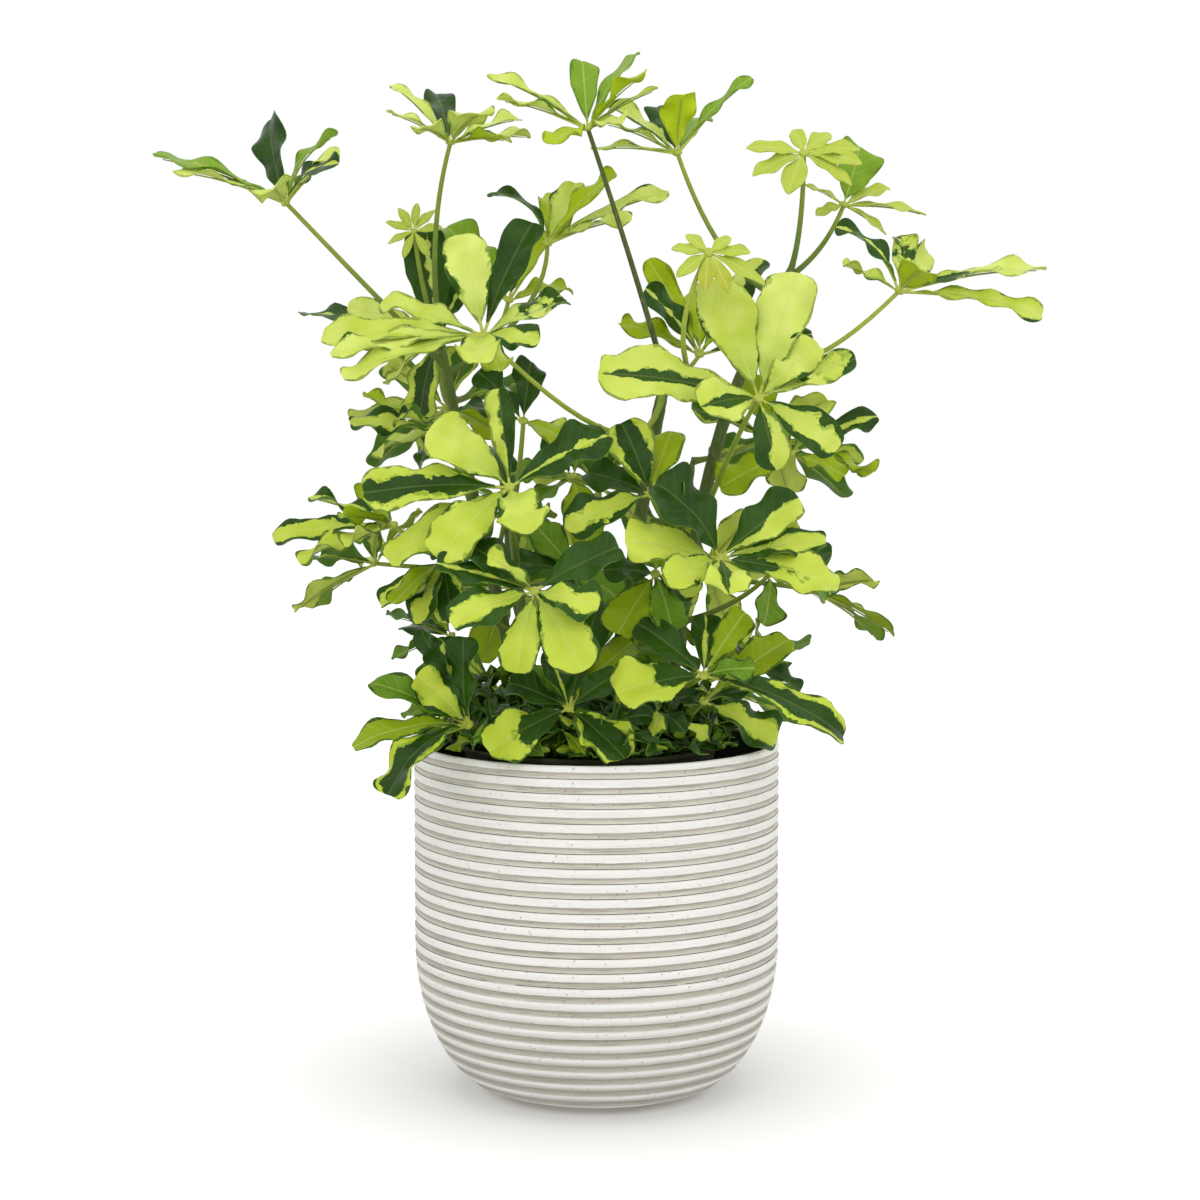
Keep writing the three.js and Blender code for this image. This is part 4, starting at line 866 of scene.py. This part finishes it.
def crinkleMargins(leaves):
    # small uneven waves and notches, which grow towards the margin and the tip
    spread, measure = [leaves.data.attributes[name].data for name in ("spread", "measure")]
    for vertex in leaves.data.vertices:
        out, along, _ = spread[vertex.index].vector
        across, length, seed = measure[vertex.index].vector
        nearTip = max(0, (along - leaflet["tipFrom"]) / (1 - leaflet["tipFrom"]))
        margin = max(abs(out) ** leaflet["crinklePower"], nearTip ** 2)
        spot = Vector((across, length, 3 * seed)) / leaflet["crinkleSize"]
        height = (vertex.co.z / mm - leaflet["calmFrom"]) / leaflet["calmRange"]
        unrest = 1 - leaflet["calm"] * min(1, max(0, height))
        size = min(1, length / leaflet["crinkleRange"]) * leaflet["crinkle"] * unrest * margin
        vertex.co += noise.noise_vector(spot) * size * mm


def restingHeight(x, y):
    # how low a leaf may hang at a place: it rises from the soil to the rims, and falls again outside the pot
    riseFrom, riseTo = clearance["rise"]
    rise = (math.hypot(x - growerPot["centre"], y) - riseFrom) / (riseTo - riseFrom)
    height = atShare((clearance["overSoil"], clearance["overRims"]), min(1, max(0, rise)))
    return height - clearance["fall"] * max(0, math.hypot(x, y) - clearance["outside"])


def held(value, limit, way):
    # a value that comes near its limit slows down and never passes it
    soft = clearance["soft"] * mm
    room = (limit - value) * way
    return value if room > soft else limit - way * soft * math.exp(room / soft - 1)


def keepInside(piece):
    margin = clearance["margin"] * mm
    for vertex in piece.data.vertices:
        for axis in range(3):
            vertex.co[axis] = held(vertex.co[axis], cadBox[0][axis] + margin, -1)
            vertex.co[axis] = held(vertex.co[axis], cadBox[1][axis] - margin, 1)


def keepClear(leaves):
    for vertex in leaves.data.vertices:
        vertex.co.z = held(vertex.co.z, restingHeight(vertex.co.x / mm, vertex.co.y / mm) * mm, -1)


stemModel = modelRod("stem_model", stalks["stemSides"], stalks["stemSteps"])
stalkModel = modelRod("stalk_model", stalks["sides"], stalks["steps"])
ribModel = modelRod("rib_model", stalks["ribSides"], stalks["ribSteps"])
knobModel = modelKnob()
bladeModel = modelBlade("blade_model", leaflet["rows"], leaflet["columns"])
youngBladeModel = modelBlade("young_blade_model", leaflet["youngRows"], leaflet["smallColumns"])
smallBladeModel = modelBlade("small_blade_model", leaflet["smallRows"], leaflet["smallColumns"])
print("leaf and stalk models are ready")


def growStem(places, shoot, number):
    span = stalks["lastScar"] - stalks["firstScar"]
    scars = [stalks["firstScar"] + span * chance(50 * number + k) for k in range(stalks["scars"])]
    centres, radii, ages = [], [], []
    for i in range(stalks["stemSteps"] + 1):
        t = i / stalks["stemSteps"]
        scar = max(math.exp(-((t - s) / stalks["scarWidth"]) ** 2) for s in scars)
        centres.append(alongStem(places, t))
        radii.append(atShare(shoot["radius"], t) + stalks["scarHeight"] * scar)
        ages.append(atShare(stalks["stemAges"], t))
    radii[-1] *= stalks["cut"]
    stem = copyPiece(stemModel, "stem")
    layRod(stem, centres, radii, ages)
    return stem


def growLeaflet(knob, tip, facing, arch, width, seed, look, model):
    # a blade and, for a full-sized one, the rib that stands out below it
    length = (tip - knob).length
    ahead = (tip - knob).normalized()
    up = (facing - ahead * facing.dot(ahead)).normalized()
    middle = knob.lerp(tip, 0.5) + up * length * arch
    blade = copyPiece(model, "blade")
    layBlade(blade, knob, tip, middle, up, width, seed, leafLooks[look])
    if model is smallBladeModel:
        return blade, None
    rib = copyPiece(ribModel, "rib")
    shares = [stalks["ribEnd"] * k / stalks["ribSteps"] for k in range(stalks["ribSteps"] + 1)]
    slim = min(1, length / stalks["ribSlim"])
    thick = [slim * atShare(stalks["ribRadii"], t) for t in shares]
    below = [stalks["ribBelow"] + min(1, stalks["ribRise"] * t) * r for t, r in zip(shares, thick)]
    layRod(rib, [bowed(knob, middle, tip, t) - up * depth for t, depth in zip(shares, below)], thick,
           [atShare(stalks["ribAges"], t) for t in shares])
    return blade, rib


def growLeaf(start, bend, knob, facing, radii, ages, leaflets, seed, isFull):
    # a stalk that ends in a knob with leaflets round it: each is (tip, width, arch, look)
    stalk = copyPiece(stalkModel if isFull else ribModel, "stalk")
    steps = stalks["steps"] if isFull else stalks["ribSteps"]
    shares = [k / steps for k in range(steps + 1)]
    foot, base, thin = radii
    layRod(stalk, [bowed(start, bend, knob, t) for t in shares],
           [atShare((base, thin), t) + (foot - base) * math.exp(-t / stalks["footTaper"]) for t in shares],
           [atShare(ages, t) for t in shares])
    woody, blades = [stalk], []
    for j, (tip, width, arch, look) in enumerate(leaflets):
        grown = youngBladeModel if "young" in leafLooks[look] else bladeModel
        model = grown if isFull else smallBladeModel
        blade, rib = growLeaflet(knob, tip, facing, arch, width, seed + 10 * j, look, model)
        blades.append(blade)
        woody += [rib] if rib else []
    if not isFull:
        return woody, blades
    cushion = copyPiece(knobModel, "knob")
    turn = facing.to_track_quat("Z", "Y")
    size = min(stalks["knob"], stalks["knobShare"] * max((leaf[0] - knob).length for leaf in leaflets))
    age = cushion.data.attributes.new("age", "FLOAT", "POINT")
    for vertex in cushion.data.vertices:
        age.data[vertex.index].value = stalks["knobAge"]
        vertex.co = (knob + turn @ (vertex.co * size)) * mm
    woody.append(cushion)
    return woody, blades


def growSprout(k):
    # one low shoot, at its own place in a spiral over the soil
    def pick(which, n):  # each value that is picked has a number of its own
        return atShare(sprouts[which], chance(sprouts["seed"] + 31 * k + n))
    reach = sprouts["footReach"] * math.sqrt(min(1, (k + 0.5) / sprouts["inner"]))
    outward = Vector((math.cos(sprouts["spiral"] * k), math.sin(sprouts["spiral"] * k), 0))
    foot = outward * reach + Vector((growerPot["centre"], 0, soilPlug["top"] - 1))
    lean = pick("lean" if k < sprouts["inner"] else "edgeLean", 1)
    knob = foot + outward * lean + Vector((0, 0, pick("height", 2)))
    knob.z = max(knob.z, restingHeight(knob.x, knob.y) + sprouts["over"])
    bend = Vector((foot.x, foot.y, knob.z))
    facing = (outward + Vector((0, 0, sprouts["upwards"]))).normalized()
    count = round(pick("leaflets", 3))
    east = facing.orthogonal().normalized()
    north = facing.cross(east)
    leaflets = []
    for j in range(count):
        turn = 2 * math.pi * (j + sprouts["scatter"] * chance(17 * k + j)) / count
        length = pick("length", 4 + j)
        out = east * math.cos(turn) + north * math.sin(turn) - facing * pick("droop", 9 + j)
        tip = knob + out.normalized() * length
        tip.z = max(tip.z, restingHeight(tip.x, tip.y) + sprouts["over"])
        look = sprouts["looks"][int(chance(7 * k + 3 * j) * len(sprouts["looks"]))]
        leaflets.append((tip, length * pick("width", 14 + j), sprouts["arch"], look))
    seed = sprouts["seed"] + 100 * k
    return foot, (foot, bend, knob, facing, sprouts["radii"], stalks["ages"], leaflets, seed, False)


def growShoot(name, shoot, number, lowLeaves):
    (x, y), *rest = shoot["stem"]  # a stem's first point lies deep in the soil
    places = [Vector((x, y, soilPlug["top"] - stalks["stemDepth"]))] + [Vector(place) for place in rest]
    woody, blades, smallBlades = [growStem(places, shoot, number)], [], []
    radii = (stalks["foot"], stalks["base"], stalks["tip"])
    for i, leaf in enumerate(shoot["leaves"]):
        start = alongStem(places, leaf["start"])
        knob = fromFront(*leaf["at"])
        bend = Vector(((start.x + 2 * knob.x) / 3, (start.y + 2 * knob.y) / 3, (2 * start.z + knob.z) / 3))
        if "via" in leaf:
            bend = fromFront(*leaf["via"]) * 2 - (start + knob) / 2
        facing = Vector((leaf["lean"][0], -leaf["lean"][1], 1)).normalized()
        leaflets = []
        for look, row in zip(leaf["looks"], leaf["leaflets"]):
            *beyond, width, arch = (*row, leaflet["arch"])[:5]
            tip = fromFront(*[a + b for a, b in zip(leaf["at"], beyond)])
            leaflets.append((tip, width, arch, look))
        ages = leaf.get("ages", stalks["ages"])
        seed = 1000 * number + 100 * i  # every shoot, leaf and leaflet has a number of its own
        moreWoody, moreBlades = growLeaf(start, bend, knob, facing, radii, ages, leaflets, seed, True)
        woody += moreWoody
        blades += moreBlades
    for leaf in lowLeaves:
        moreWoody, moreBlades = growLeaf(*leaf)
        woody += moreWoody
        smallBlades += moreBlades
    return joinPieces(woody, name + "_stalks"), joinPieces(blades, name + "_leaves"), smallBlades


# Living stalk and young bark: smooth and yellow-green at the leaves, olive-brown with pale ridges lower down
bark, barkTree, barkShader = newMaterial("green stalk and young bark")
place = addNode(barkTree, "TexCoord", {}, "Object")
age = addNode(barkTree, "Attribute", {"attribute_name": "age"}, "Fac")
grain = addNode(barkTree, "Mapping", {"Vector": place, "Scale": (900, 900, 160)})
ridges = addNode(barkTree, "TexNoise", {"Vector": grain, "Scale": 1, "Detail": 4})
mottle = addNode(barkTree, "TexNoise", {"Vector": place, "Scale": 1 / (9 * mm), "Detail": 3})
strayed = addNode(barkTree, "Math", {"operation": "MULTIPLY_ADD", 0: mottle, 1: 0.24, 2: age})
aged = addNode(barkTree, "Math", {"operation": "SUBTRACT", 0: strayed, 1: 0.12})
ageColour = addNode(barkTree, "ValToRGB", {"Fac": aged})
barkRamp = ageColour.node.color_ramp
barkStops = [(0.0, "#b9c248"), (0.3, "#8b9f1f"), (0.55, "#627a14"), (0.75, "#4b610f"), (1.0, "#3c4a12")]
while len(barkRamp.elements) < len(barkStops):
    barkRamp.elements.new(0.5)
for stop, (at, colour) in zip(barkRamp.elements, barkStops):
    stop.position = at
    stop.color = linear(colour)
old = addNode(barkTree, "MapRange", {"Value": age, "From Min": 0.7, "From Max": 0.95})
pale = addNode(barkTree, "MapRange", {"Value": ridges, "From Min": 0.5, "From Max": 0.65})
scuffed = addNode(barkTree, "Math", {"operation": "MULTIPLY", 0: old, 1: pale})
barkColour = addNode(barkTree, "Mix", {"data_type": "RGBA", "Factor": scuffed, 6: ageColour, 7: "#687240"}, 2)
barkGloss = addNode(barkTree, "MapRange", {"Value": age, "To Min": 0.42, "To Max": 0.75})
barkRelief = addNode(barkTree, "Math", {"operation": "MULTIPLY", 0: ridges, 1: age})
finishMaterial(barkTree, barkShader, barkColour, barkGloss, barkRelief, 0.5)

# Both sides of the leaves. Low ones are darker green, as painted shade inside the plant, and the roughness goes from
# the light to the dark parts.
leafSides = {
    # waxy upper side: chartreuse and dark green with crisp jagged borders and a soft sheen
    "waxy variegated leaf": dict(
        bright="#c3d34b", dull="#b2c434", pale="#dae584", lime="#acc108", lowLime="#879f0c", middle="#80a328",
        lowMiddle="#648a1c", deep="#1d3a06", shade="#30540e", rim="#294d12", young="#b1c149", bronze="#b0b235",
        line="#d3de80", gloss=(0.42, 0.3), relief=0.5, shine=0.16),
    # lower side: paler green, partly its own colour and partly painted light for the light that shines through the
    # leaf; duller, with the veins standing out
    "matt leaf underside": dict(
        bright="#dce96e", dull="#c9dc50", pale="#e6f288", lime="#bcd31a", lowLime="#96ae16", middle="#9cc23c",
        lowMiddle="#7a9f2a", deep="#4f7726", shade="#648c34", rim="#58822e", young="#bdcc4e", bronze="#c0c044",
        line="#d6e27c", gloss=(0.6, 0.5), relief=0.5, shine=0.1),
}


def leafMaterial(name, look):
    leaf, tree, shader = newMaterial(name)
    spread, measure, tint = [addNode(tree, "Attribute", {"attribute_name": name}, 1)
                             for name in ("spread", "measure", "tint")]
    outwards, along, darkness = addNode(tree, "SeparateXYZ", {0: spread}, slice(3))
    across, length, bladeNumber = addNode(tree, "SeparateXYZ", {0: measure}, slice(3))
    isLime, youth, isGreen = addNode(tree, "SeparateXYZ", {0: tint}, slice(3))
    out = addNode(tree, "Math", {"operation": "ABSOLUTE", 0: across})
    side = addNode(tree, "Math", {"operation": "SIGN", 0: across})
    # side veins leave the rib at about 50 degrees, and the dark patches have small steps along them
    vein = addNode(tree, "Math", {"operation": "MULTIPLY_ADD", 0: out, 1: -0.85, 2: length})
    half = addNode(tree, "Math", {"operation": "MULTIPLY_ADD", 0: side, 1: 3.7, 2: bladeNumber})
    veined = addNode(tree, "CombineXYZ", {0: out, 1: vein, 2: half})
    blocks = addNode(tree, "Mapping", {"Vector": veined, "Scale": (1 / 4, 1 / 2.6, 1)})
    cells = addNode(tree, "TexVoronoi", {"Vector": blocks, "Scale": 1}, "Color")
    cell, otherCell = addNode(tree, "SeparateColor", {0: cells}, slice(2))
    jag, patch, broad = [addNode(tree, "TexNoise", {"Vector": measure, "Scale": 1 / size, "Detail": detail})
                         for size, detail in ((1.5, 2), (6, 2), (17, 1))]
    # the four noises add 0.905 on average, so the border of the dark part lies there
    swayed = darkness
    for wobble, amount in ((cell, 0.07), (jag, 0.08), (patch, 0.46), (broad, 1.2)):
        swayed = addNode(tree, "Math", {"operation": "MULTIPLY_ADD", 0: wobble, 1: amount, 2: swayed})
    isDark = addNode(tree, "MapRange", {"Value": swayed, "From Min": 0.895, "From Max": 0.925})
    between = addNode(tree, "Math", {"operation": "MULTIPLY_ADD", 0: otherCell, 1: 0.2, 2: swayed})
    isMiddle = addNode(tree, "MapRange", {"Value": between, "From Min": 0.925, "From Max": 0.955, "To Max": 0.6})
    # each blade has its own tone, is greener near its foot, and is paler the higher it grows, in metres, partly as
    # young leaves are and partly as painted light from above
    own = addNode(tree, "Math", {"operation": "FRACT", 0: bladeNumber})
    grown = addNode(tree, "SeparateXYZ", {0: addNode(tree, "TexCoord", {}, "Object")}, 2)
    isHigh = addNode(tree, "MapRange", {"Value": grown, "From Min": 0.25, "From Max": 0.48, "To Max": 0.75})
    clouded = addNode(tree, "MapRange", {"Value": broad, "From Min": 0.35, "From Max": 0.65})
    mixed = addNode(tree, "Mix", {"Factor": 0.45, 2: clouded, 3: own})
    nearFoot = addNode(tree, "MapRange", {"Value": along, "From Min": 0.6, "From Max": 0.1, "To Max": 0.4})
    # partly painted light: high blades mix towards the pale colour
    upper = addNode(tree, "Mix", {"data_type": "RGBA", "Factor": isHigh, 6: look["bright"], 7: look["pale"]}, 2)
    plain = addNode(tree, "Mix", {"data_type": "RGBA", "Factor": mixed, 6: look["dull"], 7: upper}, 2)
    # painted shade: low blades take the darker lowMiddle and lowLime greens
    middle = addNode(tree, "Mix", {"data_type": "RGBA", "Factor": isHigh, 6: look["lowMiddle"], 7: look["middle"]}, 2)
    lime = addNode(tree, "Mix", {"data_type": "RGBA", "Factor": isHigh, 6: look["lowLime"], 7: look["lime"]}, 2)
    deep = addNode(tree, "Mix", {"data_type": "RGBA", "Factor": mixed, 6: look["deep"], 7: look["shade"]}, 2)
    isYoung = addNode(tree, "MapRange", {"Value": youth, "From Max": 0.7})
    isBronze = addNode(tree, "MapRange", {"Value": youth, "From Min": 0.75})
    towardsTip = addNode(tree, "Math", {"operation": "MULTIPLY", 0: isBronze, 1: along})
    patched = plain
    for cover, colour in ((nearFoot, middle), (isLime, lime), (isYoung, look["young"]), (towardsTip, look["bronze"]),
                          (isGreen, middle), (isMiddle, middle), (isDark, deep)):
        patched = addNode(tree, "Mix", {"data_type": "RGBA", "Factor": cover, 6: patched, 7: colour}, 2)
    # a dark line along the margin, which comes and goes and is up to 1.9 mm wide
    outShare = addNode(tree, "Math", {"operation": "ABSOLUTE", 0: outwards})
    safeShare = addNode(tree, "Math", {"operation": "MAXIMUM", 0: outShare, 1: 0.05})
    edgeAt = addNode(tree, "Math", {"operation": "DIVIDE", 0: out, 1: safeShare})
    toEdge = addNode(tree, "Math", {"operation": "SUBTRACT", 0: edgeAt, 1: out})
    rimWidth = addNode(tree, "MapRange", {"Value": patch, "From Min": 0.36, "From Max": 0.62, "To Max": 1.9})
    oldRim = addNode(tree, "Math", {"operation": "MULTIPLY_ADD", 0: youth, 1: -2, 2: rimWidth})
    inRim = addNode(tree, "Math", {"operation": "SUBTRACT", 0: oldRim, 1: toEdge})
    rimShare = addNode(tree, "MapRange", {"Value": isHigh, "From Max": 0.75, "To Min": 0.95, "To Max": 0.4})
    isRim = addNode(tree, "MapRange", {"Value": inRim, "From Min": -0.1, "From Max": 0.3, "To Max": rimShare})
    rimmed = addNode(tree, "Mix", {"data_type": "RGBA", "Factor": isRim, 6: patched, 7: look["rim"]}, 2)
    # the rib and the side veins, which stand 6 mm apart, are a little paler
    onRib = addNode(tree, "MapRange", {"Value": out, "From Min": 0.75, "From Max": 0.3})
    veinAt = addNode(tree, "Math", {"operation": "PINGPONG", 0: vein, 1: 3})
    onVein = addNode(tree, "MapRange", {"Value": veinAt, "From Min": 0.55, "From Max": 0.1})
    faintVein = addNode(tree, "Math", {"operation": "MULTIPLY", 0: onVein, 1: 0.3})
    lines = addNode(tree, "Math", {"operation": "MAXIMUM", 0: faintVein, 1: onRib})
    faint = addNode(tree, "MapRange", {"Value": isDark, "To Min": 0.32, "To Max": 0.08})
    drawn = addNode(tree, "Math", {"operation": "MULTIPLY", 0: lines, 1: faint})
    lined = addNode(tree, "Mix", {"data_type": "RGBA", "Factor": drawn, 6: rimmed, 7: look["line"]}, 2)
    gloss = addNode(tree, "MapRange", {"Value": isDark, "To Min": look["gloss"][0], "To Max": look["gloss"][1]})
    puckers = addNode(tree, "Math", {"operation": "MULTIPLY_ADD", 0: broad, 1: 1.2, 2: patch})
    sunk = addNode(tree, "Math", {"operation": "MULTIPLY_ADD", 0: lines, 1: -0.3, 2: puckers})
    finishMaterial(tree, shader, lined, gloss, sunk, look["relief"])
    shader.inputs["Specular IOR Level"].default_value = look["shine"]
    return leaf


leafSkins = [leafMaterial(name, look) for name, look in leafSides.items()]

lowLeaves = {name: [] for name in shoots}
for k in range(sprouts["count"]):
    foot, leaf = growSprout(k)
    if foot.x < sprouts["bare"] or foot.y > 0:  # a bare spot at the front right shows the grower pot's rim
        nearest = min(shoots, key=lambda name: (Vector(shoots[name]["stem"][0][:2]) - foot.xy).length)
        lowLeaves[nearest].append(leaf)

for number, (name, shoot) in enumerate(shoots.items(), 1):
    woody, leaves, smallBlades = growShoot(name, shoot, number, lowLeaves[name])
    pickOnly(woody)
    bpy.ops.object.shade_smooth_by_angle(angle=math.radians(stalks["smooth"]))
    woody.data.materials.append(bark)
    for piece in (leaves, *smallBlades):
        for skin in leafSkins:
            piece.data.materials.append(skin)
    soften = leaves.modifiers.new("soften", "SUBSURF")
    soften.levels = soften.render_levels = 1
    applyModifiers(leaves)
    leaves = joinPieces([leaves] + smallBlades, leaves.name)
    crinkleMargins(leaves)
    keepClear(leaves)
    for piece in (woody, leaves):
        keepInside(piece)
    body = leaves.modifiers.new("body", "SOLIDIFY")
    body.thickness = leaflet["thickness"] * mm
    body.offset = -1
    body.material_offset = body.material_offset_rim = 1
    applyModifiers(leaves)
    bpy.ops.object.shade_smooth_by_angle(angle=math.radians(leaflet["smooth"]))
    for piece in (woody, leaves):
        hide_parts(name)
        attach(piece, "root")
    print(name, "has grown,", len(leaves.data.polygons), "leaf faces")

for model in (stemModel, stalkModel, ribModel, knobModel, bladeModel, youngBladeModel, smallBladeModel):
    bpy.data.objects.remove(model)
